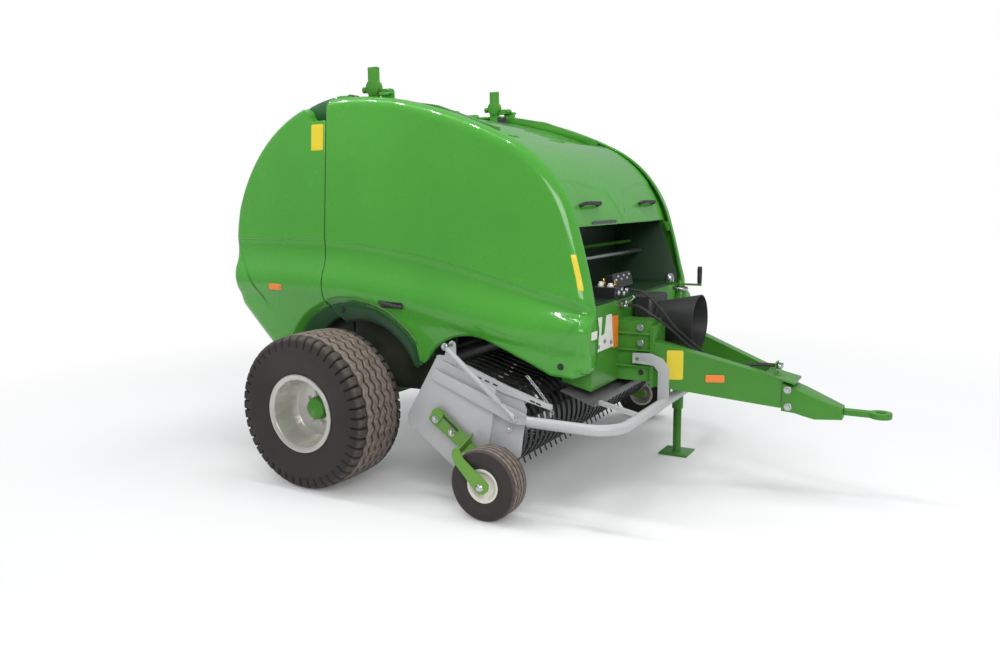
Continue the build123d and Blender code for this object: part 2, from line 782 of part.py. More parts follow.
with BuildPart() as deflector_plate:
    with BuildSketch(side_plane(0)):
        with BuildLine():
            Polyline((1350, 606), (1539, 546), (1539, 572), (1545, 572), (1545, 536), (1350, 600),
                     close=True)
        make_face()
    extrude(amount=760, both=True)
save(deflector_plate, "deflector_plate")
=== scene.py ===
# %% [markdown]
# # Dressing a round baler
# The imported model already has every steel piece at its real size. This lesson adds the looks: a studio,
# paint with a clear coat, rubber with a real tread, rolled panel edges, hoses, bolts and signs. It goes
# piece by piece, and every piece is a surface worked out with numpy.

# %% Load the fixed frame
import json
import math

import bpy
import numpy as np
from mathutils import Matrix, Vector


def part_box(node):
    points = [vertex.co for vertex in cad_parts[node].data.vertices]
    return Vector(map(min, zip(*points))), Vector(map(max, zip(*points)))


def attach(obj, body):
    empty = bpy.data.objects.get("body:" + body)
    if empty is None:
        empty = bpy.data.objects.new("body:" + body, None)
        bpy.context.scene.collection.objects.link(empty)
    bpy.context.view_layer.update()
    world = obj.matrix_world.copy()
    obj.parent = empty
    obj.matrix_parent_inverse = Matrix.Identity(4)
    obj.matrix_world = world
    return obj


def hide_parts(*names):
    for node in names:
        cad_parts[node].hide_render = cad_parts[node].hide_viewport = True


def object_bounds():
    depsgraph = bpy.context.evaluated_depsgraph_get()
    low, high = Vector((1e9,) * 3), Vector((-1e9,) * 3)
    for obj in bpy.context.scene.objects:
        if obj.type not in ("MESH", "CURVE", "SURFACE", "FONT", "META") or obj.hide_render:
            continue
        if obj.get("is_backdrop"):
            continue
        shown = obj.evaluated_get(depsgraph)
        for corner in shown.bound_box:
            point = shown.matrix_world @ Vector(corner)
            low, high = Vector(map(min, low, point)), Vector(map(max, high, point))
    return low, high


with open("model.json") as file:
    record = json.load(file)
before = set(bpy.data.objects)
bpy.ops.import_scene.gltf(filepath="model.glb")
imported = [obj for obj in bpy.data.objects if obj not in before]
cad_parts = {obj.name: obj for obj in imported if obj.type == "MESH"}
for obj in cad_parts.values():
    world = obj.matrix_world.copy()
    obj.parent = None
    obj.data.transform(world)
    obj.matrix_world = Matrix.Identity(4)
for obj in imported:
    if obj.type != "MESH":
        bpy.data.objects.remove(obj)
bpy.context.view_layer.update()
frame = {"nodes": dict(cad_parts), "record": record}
nodes = frame["nodes"]
axle_x = (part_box("axle_beam")[0].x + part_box("axle_beam")[1].x) / 2
print("axle at x =", round(axle_x, 3))

# %% [markdown]
# ## The camera
# A machine this size is judged from eye height. The camera stands off the right front corner with a
# normal lens, and its axes are built from three angles: how far it turns, dips and rolls.

# %% Camera
turn, dip, roll = math.radians(29.52), math.radians(9.257), math.radians(-0.678)
camera_data = bpy.data.cameras.new("camera")
camera_data.sensor_width = 36.0
camera_data.lens = 30.40
camera_data.shift_y = 0.0028
camera_data.clip_end = 200.0
camera = bpy.data.objects.new("camera", camera_data)
bpy.context.scene.collection.objects.link(camera)
back = np.array([math.sin(turn) * math.cos(dip), -math.cos(turn) * math.cos(dip), math.sin(dip)])
level = np.array([math.cos(turn), math.sin(turn), 0.0])
upward = np.cross(back, level)
right = level * math.cos(roll) + upward * math.sin(roll)
up = -level * math.sin(roll) + upward * math.cos(roll)
place = np.array([axle_x + 3.194, -4.646, 1.594])
camera.matrix_world = Matrix([[right[i], up[i], back[i], place[i]] for i in range(3)] + [[0, 0, 0, 1]])
bpy.context.scene.camera = camera
bpy.context.scene.view_settings.view_transform = "Standard"

# %% [markdown]
# ## The studio
# A glossy machine shows whatever hangs above it, so the lamps are soft boxes: one wide one in front,
# one behind, one on the far side, one above, and a row of eight small ones that draws the bright dashes
# along the rolled edges. The background goes white only for camera and glass rays, so it doesn't light the
# paint.


# %% Lamps, world and floor
def soft_box(name, place, aim, size, power, colour=(1, 1, 1), mirrored=True):
    """A rectangular area lamp at a place, facing a point; its size is width and height in metres. mirrored says
    whether the paint mirrors it."""
    lamp = bpy.data.lights.new(name, "AREA")
    lamp.shape = "RECTANGLE"
    lamp.size, lamp.size_y = size
    lamp.energy = power
    lamp.color = colour
    holder = bpy.data.objects.new(name, lamp)
    direction = np.array(aim, float) - np.array(place, float)
    direction /= np.linalg.norm(direction)
    side = np.cross(direction, (0, 0, 1))
    side = side / np.linalg.norm(side) if np.linalg.norm(side) > 1e-3 else np.array((1.0, 0, 0))
    top = np.cross(side, direction)
    ahead = [[side[i], top[i], -direction[i], place[i]] for i in range(3)] + [[0, 0, 0, 1]]
    holder.matrix_world = Matrix(ahead)
    holder.visible_glossy = mirrored
    bpy.context.scene.collection.objects.link(holder)


soft_box("front_box", (4.5, -6.5, 5.0), (0, -0.5, 1.0), (5.0, 3.5), 300)
soft_box("rear_box", (-6.5, -4.5, 4.0), (-0.5, -0.5, 1.0), (3.5, 3.0), 120, mirrored=False)
soft_box("far_box", (3.5, 6.5, 4.5), (0, 0.5, 1.0), (5.0, 3.0), 150, mirrored=False)
soft_box("top_box", (1.4, 0.4, 6.0), (0.4, 0, 1.5), (3.0, 2.0), 110, mirrored=False)
strip_count, strip_gap = 8, 0.75
for k in range(strip_count):
    soft_box(f"strip_{k}", (axle_x - 4.0 + strip_gap * k, -1.25, 5.2), (axle_x - 1.6 + strip_gap * k, -0.85, 1.6),
             (0.34, 0.16), 12)

world = bpy.data.worlds.new("studio")
bpy.context.scene.world = world
world.use_nodes = True
tree = world.node_tree
tree.nodes.clear()
rays = tree.nodes.new("ShaderNodeLightPath")
seen = tree.nodes.new("ShaderNodeMath")
seen.operation = "MAXIMUM"
tree.links.new(rays.outputs["Is Camera Ray"], seen.inputs[0])
tree.links.new(rays.outputs["Is Transmission Ray"], seen.inputs[1])
plain = tree.nodes.new("ShaderNodeBackground")
plain.inputs["Color"].default_value = (0.92, 0.96, 1.0, 1)
plain.inputs["Strength"].default_value = 0.42
white = tree.nodes.new("ShaderNodeBackground")
white.inputs["Color"].default_value = (1, 1, 1, 1)
white.inputs["Strength"].default_value = 1.0
mix = tree.nodes.new("ShaderNodeMixShader")
out = tree.nodes.new("ShaderNodeOutputWorld")
tree.links.new(seen.outputs[0], mix.inputs[0])
tree.links.new(plain.outputs[0], mix.inputs[1])
tree.links.new(white.outputs[0], mix.inputs[2])
tree.links.new(mix.outputs[0], out.inputs["Surface"])


def grid_mesh(name, points, wrap_rows=False, wrap_columns=False, flip=False):
    """A mesh from a grid of points, rows by columns; wrapping joins the last row or column to the first."""
    rows, columns = points.shape[:2]
    index = np.arange(rows * columns).reshape(rows, columns)
    if wrap_rows:
        index = np.vstack([index, index[:1]])
    if wrap_columns:
        index = np.hstack([index, index[:, :1]])
    quads = np.stack([index[:-1, :-1], index[:-1, 1:], index[1:, 1:], index[1:, :-1]], axis=-1).reshape(-1, 4)
    if flip:
        quads = quads[:, ::-1]
    mesh = bpy.data.meshes.new(name)
    mesh.from_pydata(points.reshape(-1, 3).tolist(), [], quads.tolist())
    mesh.polygons.foreach_set("use_smooth", np.ones(len(mesh.polygons), bool))
    mesh.update()
    piece = bpy.data.objects.new(name, mesh)
    bpy.context.scene.collection.objects.link(piece)
    return piece


def floor_material():
    """Pale matt floor near the machine that turns to plain white further out. The share of white is a smooth
    step of the distance from the middle, and it shows to the camera only."""
    made = bpy.data.materials.new("floor")
    made.use_nodes = True
    tree = made.node_tree
    tree.nodes.clear()
    matt = tree.nodes.new("ShaderNodeBsdfDiffuse")
    matt.inputs["Color"].default_value = (0.80, 0.80, 0.80, 1)
    glow = tree.nodes.new("ShaderNodeEmission")
    rays = tree.nodes.new("ShaderNodeLightPath")
    lift = tree.nodes.new("ShaderNodeMath")
    lift.operation = "MULTIPLY"
    tree.links.new(rays.outputs["Is Camera Ray"], lift.inputs[0])
    lift.inputs[1].default_value = 0.12
    tree.links.new(lift.outputs[0], glow.inputs["Strength"])
    both = tree.nodes.new("ShaderNodeAddShader")
    tree.links.new(matt.outputs[0], both.inputs[0])
    tree.links.new(glow.outputs[0], both.inputs[1])
    place = tree.nodes.new("ShaderNodeTexCoord")
    away = tree.nodes.new("ShaderNodeVectorMath")
    away.operation = "LENGTH"
    tree.links.new(place.outputs["Object"], away.inputs[0])
    fade = tree.nodes.new("ShaderNodeMapRange")
    fade.interpolation_type = "SMOOTHSTEP"
    fade.inputs["From Min"].default_value = 2.2
    fade.inputs["From Max"].default_value = 6.0
    tree.links.new(away.outputs["Value"], fade.inputs["Value"])
    share = tree.nodes.new("ShaderNodeMath")
    share.operation = "MULTIPLY"
    tree.links.new(fade.outputs["Result"], share.inputs[0])
    tree.links.new(rays.outputs["Is Camera Ray"], share.inputs[1])
    white = tree.nodes.new("ShaderNodeEmission")
    mix = tree.nodes.new("ShaderNodeMixShader")
    tree.links.new(share.outputs[0], mix.inputs[0])
    tree.links.new(both.outputs[0], mix.inputs[1])
    tree.links.new(white.outputs[0], mix.inputs[2])
    out = tree.nodes.new("ShaderNodeOutputMaterial")
    tree.links.new(mix.outputs[0], out.inputs["Surface"])
    return made


floor_edge = np.linspace(-60, 60, 3)
floor = grid_mesh("floor", np.stack(np.meshgrid(floor_edge, floor_edge, [0.0]), axis=-1)[:, :, 0])
floor.data.materials.append(floor_material())
floor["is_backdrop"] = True

# %% [markdown]
# ## Finishes
# Every finish is one principled shader. Its colour drifts slowly with a broad noise, its roughness with a
# second one, and a fine noise dents the surface a little: orange peel on paint, grain on rubber and
# plastic. The patterns read Object coordinates, so they stay put when a piece moves.


# %% A helper for finishes
def finish(name, colour, drift=0.12, drift_scale=1.5, rough=0.35, rough_drift=0.08, metallic=0.0, coat=0.0,
           coat_rough=0.06, grain=0.0, grain_scale=60.0, grain_depth=0.002, specular=0.5, dust=0.0):
    """A principled shader: colour mixed with a lighter and a darker self by noise, plus grain as bump.
    dust is the share of pale dust that lies where the surface faces up, broken up by a noise."""
    made = bpy.data.materials.new(name)
    made.use_nodes = True
    tree = made.node_tree
    shader = tree.nodes["Principled BSDF"]
    place = tree.nodes.new("ShaderNodeTexCoord")
    broad = tree.nodes.new("ShaderNodeTexNoise")
    broad.inputs["Scale"].default_value = drift_scale
    broad.inputs["Detail"].default_value = 4.0
    tree.links.new(place.outputs["Object"], broad.inputs["Vector"])
    ramp = tree.nodes.new("ShaderNodeValToRGB")
    low, high = (np.clip(np.array(colour) * (1 + s * drift), 0, 1) for s in (-1, 1))
    ramp.color_ramp.elements[0].position = 0.3
    ramp.color_ramp.elements[0].color = (*low, 1)
    ramp.color_ramp.elements[1].position = 0.7
    ramp.color_ramp.elements[1].color = (*high, 1)
    tree.links.new(broad.outputs["Fac"], ramp.inputs["Fac"])
    colour_out = ramp.outputs["Color"]
    patchy = tree.nodes.new("ShaderNodeTexNoise")
    patchy.inputs["Scale"].default_value = 7.0
    patchy.inputs["Detail"].default_value = 6.0
    tree.links.new(place.outputs["Object"], patchy.inputs["Vector"])
    if dust:
        face = tree.nodes.new("ShaderNodeNewGeometry")
        split = tree.nodes.new("ShaderNodeSeparateXYZ")
        tree.links.new(face.outputs["Normal"], split.inputs["Vector"])
        lies = tree.nodes.new("ShaderNodeMapRange")
        lies.inputs["From Min"].default_value = 0.2
        lies.inputs["From Max"].default_value = 1.0
        lies.inputs["To Max"].default_value = dust
        tree.links.new(split.outputs["Z"], lies.inputs["Value"])
        amount = tree.nodes.new("ShaderNodeMath")
        amount.operation = "MULTIPLY"
        tree.links.new(lies.outputs["Result"], amount.inputs[0])
        tree.links.new(patchy.outputs["Fac"], amount.inputs[1])
        over = tree.nodes.new("ShaderNodeMix")
        over.data_type = "RGBA"
        tree.links.new(amount.outputs[0], over.inputs["Factor"])
        tree.links.new(colour_out, over.inputs["A"])
        over.inputs["B"].default_value = (0.42, 0.38, 0.30, 1)
        colour_out = over.outputs["Result"]
    tree.links.new(colour_out, shader.inputs["Base Color"])
    spread = tree.nodes.new("ShaderNodeMapRange")
    spread.inputs["To Min"].default_value = rough - rough_drift
    spread.inputs["To Max"].default_value = rough + rough_drift
    tree.links.new(patchy.outputs["Fac"], spread.inputs["Value"])
    tree.links.new(spread.outputs["Result"], shader.inputs["Roughness"])
    shader.inputs["Metallic"].default_value = metallic
    shader.inputs["Specular IOR Level"].default_value = specular
    shader.inputs["Coat Weight"].default_value = coat
    shader.inputs["Coat Roughness"].default_value = coat_rough
    if grain:
        fine = tree.nodes.new("ShaderNodeTexNoise")
        fine.inputs["Scale"].default_value = grain_scale
        fine.inputs["Detail"].default_value = 3.0
        tree.links.new(place.outputs["Object"], fine.inputs["Vector"])
        dent = tree.nodes.new("ShaderNodeBump")
        dent.inputs["Strength"].default_value = grain
        dent.inputs["Distance"].default_value = grain_depth
        tree.links.new(fine.outputs["Fac"], dent.inputs["Height"])
        tree.links.new(dent.outputs["Normal"], shader.inputs["Normal"])
    return made


# %% The finishes of this machine
finishes = {
    "green_paint": finish("green_paint", (0.062, 0.255, 0.028), rough=0.34, coat=0.22, grain=0.15, specular=0.22,
                          grain_scale=220, grain_depth=0.0004, dust=0.08),
    "light_green_paint": finish("light_green_paint", (0.066, 0.340, 0.032), drift=0.10, drift_scale=0.9,
                                rough=0.26, coat=0.70, coat_rough=0.04, grain=0.12, grain_scale=9,
                                grain_depth=0.0015, specular=0.25),
    "dark_green_paint": finish("dark_green_paint", (0.009, 0.036, 0.010), rough=0.5, coat=0.2),
    "lime_paint": finish("lime_paint", (0.12, 0.30, 0.028), rough=0.36, coat=0.3),
    "grey_paint": finish("grey_paint", (0.47, 0.47, 0.48), drift=0.06, rough=0.38, coat=0.3, grain=0.1,
                         grain_scale=150, grain_depth=0.0005, dust=0.08),
    "black_steel": finish("black_steel", (0.025, 0.025, 0.026), rough=0.42, coat=0.2, dust=0.15),
    "dark_sheet": finish("dark_sheet", (0.10, 0.10, 0.105), rough=0.42, coat=0.25, dust=0.15),
    "dark_plastic": finish("dark_plastic", (0.028, 0.027, 0.028), rough=0.5, grain=0.3, grain_scale=400,
                           grain_depth=0.0004),
    "rubber": finish("rubber", (0.030, 0.026, 0.024), drift=0.25, rough=0.72, grain=0.4, grain_scale=180,
                     grain_depth=0.001, specular=0.35, dust=0.10),
    "hose_rubber": finish("hose_rubber", (0.022, 0.021, 0.021), rough=0.42, grain=0.3, grain_scale=500,
                          grain_depth=0.0003, dust=0.06),
    "rim_paint": finish("rim_paint", (0.56, 0.54, 0.50), drift=0.06, rough=0.30, metallic=0.55, coat=0.35, dust=0.04),
    "cream_paint": finish("cream_paint", (0.72, 0.70, 0.62), drift=0.05, rough=0.36, coat=0.3, dust=0.05),
    "bright_steel": finish("bright_steel", (0.55, 0.55, 0.56), drift=0.1, rough=0.30, metallic=1.0,
                           grain=0.2, grain_scale=300, grain_depth=0.0003),
}
# painted shade: a near-black green for the walls inside the chamber and behind the arches, with real dust on top
finishes["shaded_wall"] = finish("shaded_wall", (0.030, 0.034, 0.018), drift=0.6, drift_scale=5.0, rough=0.6,
                                 coat=0.1,
                                 dust=0.2)
slot_of = {part["node"]: part["material_slot"] for part in frame["record"]["subparts"]}
for name, piece in nodes.items():
    slots = piece.data.materials
    for k in range(len(slots)):
        slots[k] = finishes[slot_of[name]]
print("finishes:", len(finishes), "on", len(nodes), "steel pieces")

# %% [markdown]
# ## The side covers
# A cover is one pressed skin. It has a flat upper field, a soft crease, a cove under it and a long bulge
# above the wheels. A subdivision cage would work, but the press lines run at a slant, so here the skin
# is a function: the half width of the machine at any length and height. A ruled grid between the lower
# edge and the roof line picks the points, and more rows fall where the skin bends most.

# %% Lines and arcs in the side elevation


def arc_through(start, middle, end, steps=24):
    """Points on the circle through three points. Its centre is as far from all three, found from the two
    perpendicular bisectors, and the points are evenly turned about it."""
    a, b, c = (np.array(p, float) for p in (start, middle, end))
    system = 2 * np.array([b - a, c - a])
    centre = np.linalg.solve(system, [b @ b - a @ a, c @ c - a @ a])
    turns = np.unwrap([math.atan2(*(p - centre)[::-1]) for p in (a, b, c)])
    turn = np.linspace(turns[0], turns[2], steps)
    return centre + np.linalg.norm(a - centre) * np.stack([np.cos(turn), np.sin(turn)], axis=1)


def even_steps(line, count):
    """The same line with its points evenly spaced along its length."""
    line = np.asarray(line, float)
    length = np.concatenate([[0], np.cumsum(np.linalg.norm(np.diff(line, axis=0), axis=1))])
    wanted = np.linspace(0, length[-1], count)
    return np.stack([np.interp(wanted, length, line[:, k]) for k in range(line.shape[1])], axis=1)


def distance_to(points, line):
    """Shortest distance from each point of a grid to a line of short pieces, by projection on every piece."""
    start, run = line[:-1], np.diff(line, axis=0)
    offset = points[..., None, :] - start
    share = np.clip((offset * run).sum(-1) / (run * run).sum(-1), 0, 1)
    return np.linalg.norm(offset - share[..., None] * run, axis=-1).min(-1)


# %% The skin as a function
# station, half width at the top, at the crease, crease height, half width of the bulge, its height, foot
stations = np.array([
    (-1.000, 0.745, 0.805, 1.366, 0.850, 1.118, 0.780),
    (-0.560, 0.790, 0.858, 1.368, 0.904, 1.118, 0.830),
    (-0.100, 0.800, 0.874, 1.366, 0.920, 1.112, 0.840),
    (0.430, 0.800, 0.870, 1.312, 0.918, 1.060, 0.840),
    (1.000, 0.778, 0.842, 1.190, 0.893, 0.960, 0.838),
    (1.600, 0.740, 0.792, 1.005, 0.872, 0.880, 0.838),
])
skin_top, skin_foot, bulge_half = 2.26, 0.60, 0.095


def spline_through(stations, values, x):
    """Natural cubic spline: curvature is found from a small linear system, then each span is a cubic."""
    step = np.diff(stations)
    slope = np.diff(values) / step
    count = len(stations)
    system = np.eye(count)
    side = np.zeros(count)
    for i in range(1, count - 1):
        system[i, i - 1: i + 2] = step[i - 1], 2 * (step[i - 1] + step[i]), step[i]
        side[i] = 3 * (slope[i] - slope[i - 1])
    bend = np.linalg.solve(system, side)
    span = np.clip(np.searchsorted(stations, x) - 1, 0, count - 2)
    run = x - stations[span]
    linear = slope[span] - step[span] * (2 * bend[span] + bend[span + 1]) / 3
    cubic = (bend[span + 1] - bend[span]) / (3 * step[span])
    return values[span] + linear * run + bend[span] * run ** 2 + cubic * run ** 3


def crease_height(x):
    """Height of the press line at a length."""
    return spline_through(stations[:, 0], stations[:, 3], x)


def half_width(x, z):
    """Half width of the skin: a line above the crease, a parabola in the cove, a circle round the bulge and a
    line below, joined with a soft step of 12 mm so that the crease has a radius."""
    top, crease, crease_z, bulge, bulge_z, foot = (
        spline_through(stations[:, 0], stations[:, k], x) for k in range(1, 7))
    upper = crease + (top - crease) * (z - crease_z) / (skin_top - crease_z)
    flank_z = bulge_z + bulge_half
    flank = bulge - 0.025
    middle_z = crease_z - 0.45 * (crease_z - flank_z)
    cove = (crease * (z - middle_z) * (z - flank_z) / ((crease_z - middle_z) * (crease_z - flank_z))
            + (crease - 0.004) * (z - crease_z) * (z - flank_z) / ((middle_z - crease_z) * (middle_z - flank_z))
            + flank * (z - crease_z) * (z - middle_z) / ((flank_z - crease_z) * (flank_z - middle_z)))
    radius = (bulge_half ** 2 + 0.025 ** 2) / 0.05
    dome = bulge - radius + np.sqrt(np.maximum(radius ** 2 - (z - bulge_z) ** 2, 0))
    lower = foot + (flank - foot) * (z - skin_foot) / (bulge_z - bulge_half - skin_foot)

    def step(edge, soft=0.012):
        return 0.5 + 0.5 * np.tanh((z - edge) / soft)

    fade = np.clip((x - 1.05) / 0.40, 0, 1)
    fade = fade * fade * (3 - 2 * fade)
    skin = lower + step(bulge_z - bulge_half, 0.02 + 0.02 * fade) * (dome - lower)
    skin = skin + step(flank_z, 0.02 + 0.02 * fade) * (cove - dome)
    skin = skin + step(crease_z, 0.012 + 0.035 * fade) * (upper - cove)
    return skin - 0.0035 * (1 - fade) * np.exp(-((z - crease_z) / 0.005) ** 2)


# %% Outlines of the front cover and the tailgate cover
seam_x, seam_gap = -0.100, 0.008
front_back = seam_x + seam_gap / 2
front_crest = np.vstack([
    arc_through((front_back, 2.170), (0.240, 2.160), (0.560, 2.095)),
    arc_through((0.560, 2.095), (0.830, 2.006), (1.060, 1.905))[1:],
    arc_through((1.060, 1.905), (1.272, 1.745), (1.424, 1.487))[1:],
    arc_through((1.424, 1.487), (1.502, 1.190), (1.552, 0.930))[1:],
    [(1.5345, 0.740)],
    arc_through((1.5345, 0.740), (1.524, 0.7165), (1.500, 0.7045), 8)[1:],
])
front_sill = np.vstack([
    arc_through((front_back, 0.988), (0.300, 0.943), (0.513, 0.702)),
    [(0.560, 0.697)],
    [(0.590, 0.725)],
    arc_through((0.590, 0.725), (0.740, 0.848), (0.960, 0.858))[1:],
    arc_through((0.960, 0.858), (1.125, 0.790), (1.330, 0.697))[1:],
    [(1.450, 0.690), (1.500, 0.7045)],
])
rear_front = seam_x - seam_gap / 2
rear_roof = np.vstack([
    arc_through((rear_front, 2.170), (-0.650, 1.876), (-0.876, 1.400), 40),
    arc_through((-0.876, 1.400), (-0.888, 1.180), (-0.846, 0.950))[1:],
    [(-0.600, 0.700)],
])
rear_sill = np.vstack([
    arc_through((rear_front, 0.986), (-0.320, 0.846), (-0.413, 0.700)),
    [(-0.600, 0.700)],
])


# %% A pressed cover between its lower edge and its crest


def pressed_cover(name, side, sill, crest, band, rounding=lambda z: 0.062, columns=176, rows=78, edge_line=None):
    """A cover's skin. Ruled lines join equal shares of the sill and the crest. Rows are spread along
    each ruled line in proportion to a weight that is high near the crease, the sill and the crest. The half
    width is the skin's, less a quarter circle of the rounding's radius near the crest, less a slanted
    band beside the sill. Beyond the crest the sheet turns in level, and at the sill and the seam it is flanged.
    band is a function of length that gives the width and depth of the slanted band."""
    low_line, high_line = even_steps(sill, columns), even_steps(crest, columns)
    fine = np.linspace(0, 1, 240)
    ruled = low_line[:, None] + fine[None, :, None] * (high_line - low_line)[:, None]
    run = np.linalg.norm(high_line - low_line, axis=1)[:, None] * fine
    left = run[:, -1:] - run
    near = np.abs(ruled[..., 1] - crease_height(ruled[..., 0]))
    weight = (1 + 5 * np.exp(-(near / 0.04) ** 2) + 12 * np.exp(-(near / 0.010) ** 2)
              + 8 * np.exp(-run / 0.03) + 6 * np.exp(-left / 0.05))
    share = np.cumsum(weight, axis=1) - weight[:, :1]
    share /= share[:, -1:]
    level = np.array([np.interp(np.linspace(0, 1, rows), row, fine) for row in share])
    field = low_line[:, None] + level[..., None] * (high_line - low_line)[:, None]
    x, z = field[..., 0], field[..., 1]
    skin = half_width(x, z)
    away = distance_to(field, edge_line if edge_line is not None else crest)
    short = np.clip(1 - away / rounding(z), 0, 1)
    skin = skin - rounding(z) * (1 - np.sqrt(1 - short ** 2))
    width, depth = band(x)
    from_sill = distance_to(field, sill)
    skin = skin - depth * np.clip(1 - from_sill / np.maximum(width, 1e-4), 0, 1)
    y = skin
    # turned in beyond the crest, level first and then down a little
    over = [np.stack([high_line[:, 0], y[:, -1] * (1 - k) + 0.722 * k, high_line[:, 1]], 1) for k in (0.03, 0.5, 1.0)]
    inward = np.gradient(high_line, axis=0)
    inward = np.stack([inward[:, 1], -inward[:, 0]], 1) / np.linalg.norm(inward, axis=1)[:, None]
    lip = over[-1].copy()
    lip[:, 0] += inward[:, 0] * 0.018
    lip[:, 2] += inward[:, 1] * 0.018
    # flanged at the sill
    under = [np.stack([low_line[:, 0], y[:, 0] - k, low_line[:, 1]], 1) for k in (0.028, 0.004)]
    grid = np.concatenate([np.stack(under, 1), np.stack([x, y, z], -1), np.stack(over, 1), lip[:, None]], axis=1)
    # flanged at the seam: the first column again, further in
    seam = grid[:1] - np.array([0, 0.022, 0])
    near_seam = grid[:1] - np.array([0, 0.003, 0])
    grid = np.concatenate([seam, near_seam, grid])
    grid[..., 0] += axle_x
    grid[..., 1] *= side
    piece = grid_mesh(name, grid, flip=(side < 0) == (crest[-1, 0] > crest[0, 0]))
    wall = piece.modifiers.new("sheet", "SOLIDIFY")
    wall.thickness = 0.004
    wall.offset = -1
    return piece


def front_band(x):
    """Slanted band of the front cover: widest at the front foot of the wheel arch, a small lip elsewhere."""
    arch = np.clip((x + 0.10) / 0.55, 0, 1)
    inside = np.clip((0.53 - x) / 0.01, 0, 1)
    return 0.012 + inside * (0.018 + 0.036 * arch), 0.008 + inside * (0.030 + 0.025 * arch)


def rear_band(x):
    """Slanted band of the tailgate cover: in the wheel arch only."""
    inside = np.clip((x + 0.43) / 0.01, 0, 1)
    return 0.012 + inside * 0.018, 0.008 + inside * 0.024


notch_back, notch_foot = -0.236, 2.046
rear_crest = np.vstack([
    [(rear_front, notch_foot), (notch_back + 0.045, notch_foot)],
    arc_through((notch_back + 0.045, notch_foot), (notch_back + 0.013, notch_foot + 0.013),
                (notch_back, notch_foot + 0.045), 8)[1:],
    arc_through((notch_back, 2.070), (notch_back - 0.010, 2.104), (notch_back - 0.034, 2.1175), 8)[1:],
    rear_roof[rear_roof[:, 0] < notch_back - 0.045],
])
for side_name, side in (("left", 1), ("right", -1)):
    cover = pressed_cover(f"front_cover_skin_{side_name}", side, front_sill, front_crest, front_band)
    cover.data.materials.append(finishes["light_green_paint"])
    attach(cover, f"cover_{side_name}")
    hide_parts(f"cover_{side_name}")
    gate = pressed_cover(f"tailgate_cover_skin_{side_name}", side, rear_sill, rear_crest, rear_band,
                         rounding=lambda z: 0.036 + 0.040 * np.clip((1.55 - z) / 0.3, 0, 1), columns=130,
                         edge_line=rear_roof)
    gate.data.materials.append(finishes["light_green_paint"])
    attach(gate, "tailgate")
    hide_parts(f"tailgate_cover_{side_name}")
print("cover skin has", len(cover.data.polygons), "faces and the tailgate's", len(gate.data.polygons))

# %% [markdown]
# ## The hood over the net roll
# The hood follows one arc. Its upper field stands a few millimetres proud, with an edge that runs level
# at the sides and drops in a narrow beak to the lower lip. It is a grid over arc length and width, lifted
# along the arc's normal by a smooth step.

# %% Hood
hood_arc = even_steps(arc_through((0.995, 1.916), (1.230, 1.752), (1.400, 1.449), 60), 90)
hood_half = 0.711
across = np.concatenate([[-1, -0.999, -0.997, -0.993], np.linspace(-0.985, 0.985, 150), [0.993, 0.997, 0.999, 1]])
across = across * hood_half
length = np.concatenate([[0], np.cumsum(np.linalg.norm(np.diff(hood_arc, axis=0), axis=1))])
ahead = np.gradient(hood_arc, axis=0)
normal = np.stack([-ahead[:, 1], ahead[:, 0]], 1) / np.linalg.norm(ahead, axis=1)[:, None]
share = length / length[-1]
field_end = np.interp(np.abs(across), [0.0, 0.028, 0.11, 0.25, 0.43, 0.72], [0.985, 0.95, 0.705, 0.665, 0.615, 0.60])
proud = 0.0045 * (0.5 - 0.5 * np.tanh((share[:, None] - field_end[None, :]) / 0.016))
edge = np.clip(1 - (hood_half - np.abs(across)) / 0.012, 0, 1)
proud = proud - 0.012 * (1 - np.sqrt(1 - edge ** 2))[None, :]
flat = hood_arc[:, None] + proud[..., None] * normal[:, None]
skin = np.stack([axle_x + flat[..., 0], np.broadcast_to(across, proud.shape), flat[..., 1]], -1)
lip = skin[-1:] + np.array([-0.02, 0, -0.004])
curl = skin[-1:] + np.array([-0.003, 0, -0.006])
head = skin[:1] + np.array([-0.004, 0, -0.012])
hood_skin = grid_mesh("hood_skin", np.concatenate([head, skin, curl, lip]), flip=True)
wall = hood_skin.modifiers.new("sheet", "SOLIDIFY")
wall.thickness = 0.004
wall.offset = -1
hood_skin.data.materials.append(finishes["light_green_paint"])
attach(hood_skin, "hood")
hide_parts("hood")
print("hood arc length", round(length[-1], 3))

# %% [markdown]
# ## Tyres
# A flotation tyre for an implement: round shoulders with cross lugs, and wavy ribs round the middle. The
# tread is a height over angle and width: the carcass profile less a groove depth, where each groove is a
# smooth dip about a wavy line, and the shoulder cuts are dips across.


# %% Tyre and tread
def tyre_profile(half_width, radius, seat, shoulder):
    """The carcass from bead to bead as width and radius: a bead, a bulged wall, a round shoulder, a crown."""
    wall = [(half_width * 0.86, seat), (half_width * 0.865, seat + 0.012), (half_width * 0.90, seat + 0.03),
            (half_width * 0.965, seat + (radius - seat) * 0.30), (half_width, seat + (radius - seat) * 0.52),
            (half_width * 0.985, seat + (radius - seat) * 0.70)]
    edge = arc_through((half_width * 0.96, seat + (radius - seat) * 0.79),
                       (half_width * 0.90, radius - shoulder * 0.42),
                       (half_width * 0.76, radius - shoulder * 0.13), 10)
    crown = [(half_width * 0.4, radius), (0.0, radius)]
    half = np.vstack([wall, edge, crown])
    return np.vstack([half * [-1, 1], half[-2::-1]])


def dip(distance, half, soft):
    """1 inside a groove of that half width, falling smoothly to 0 outside."""
    return 0.5 - 0.5 * np.tanh((np.abs(distance) - half) / soft)


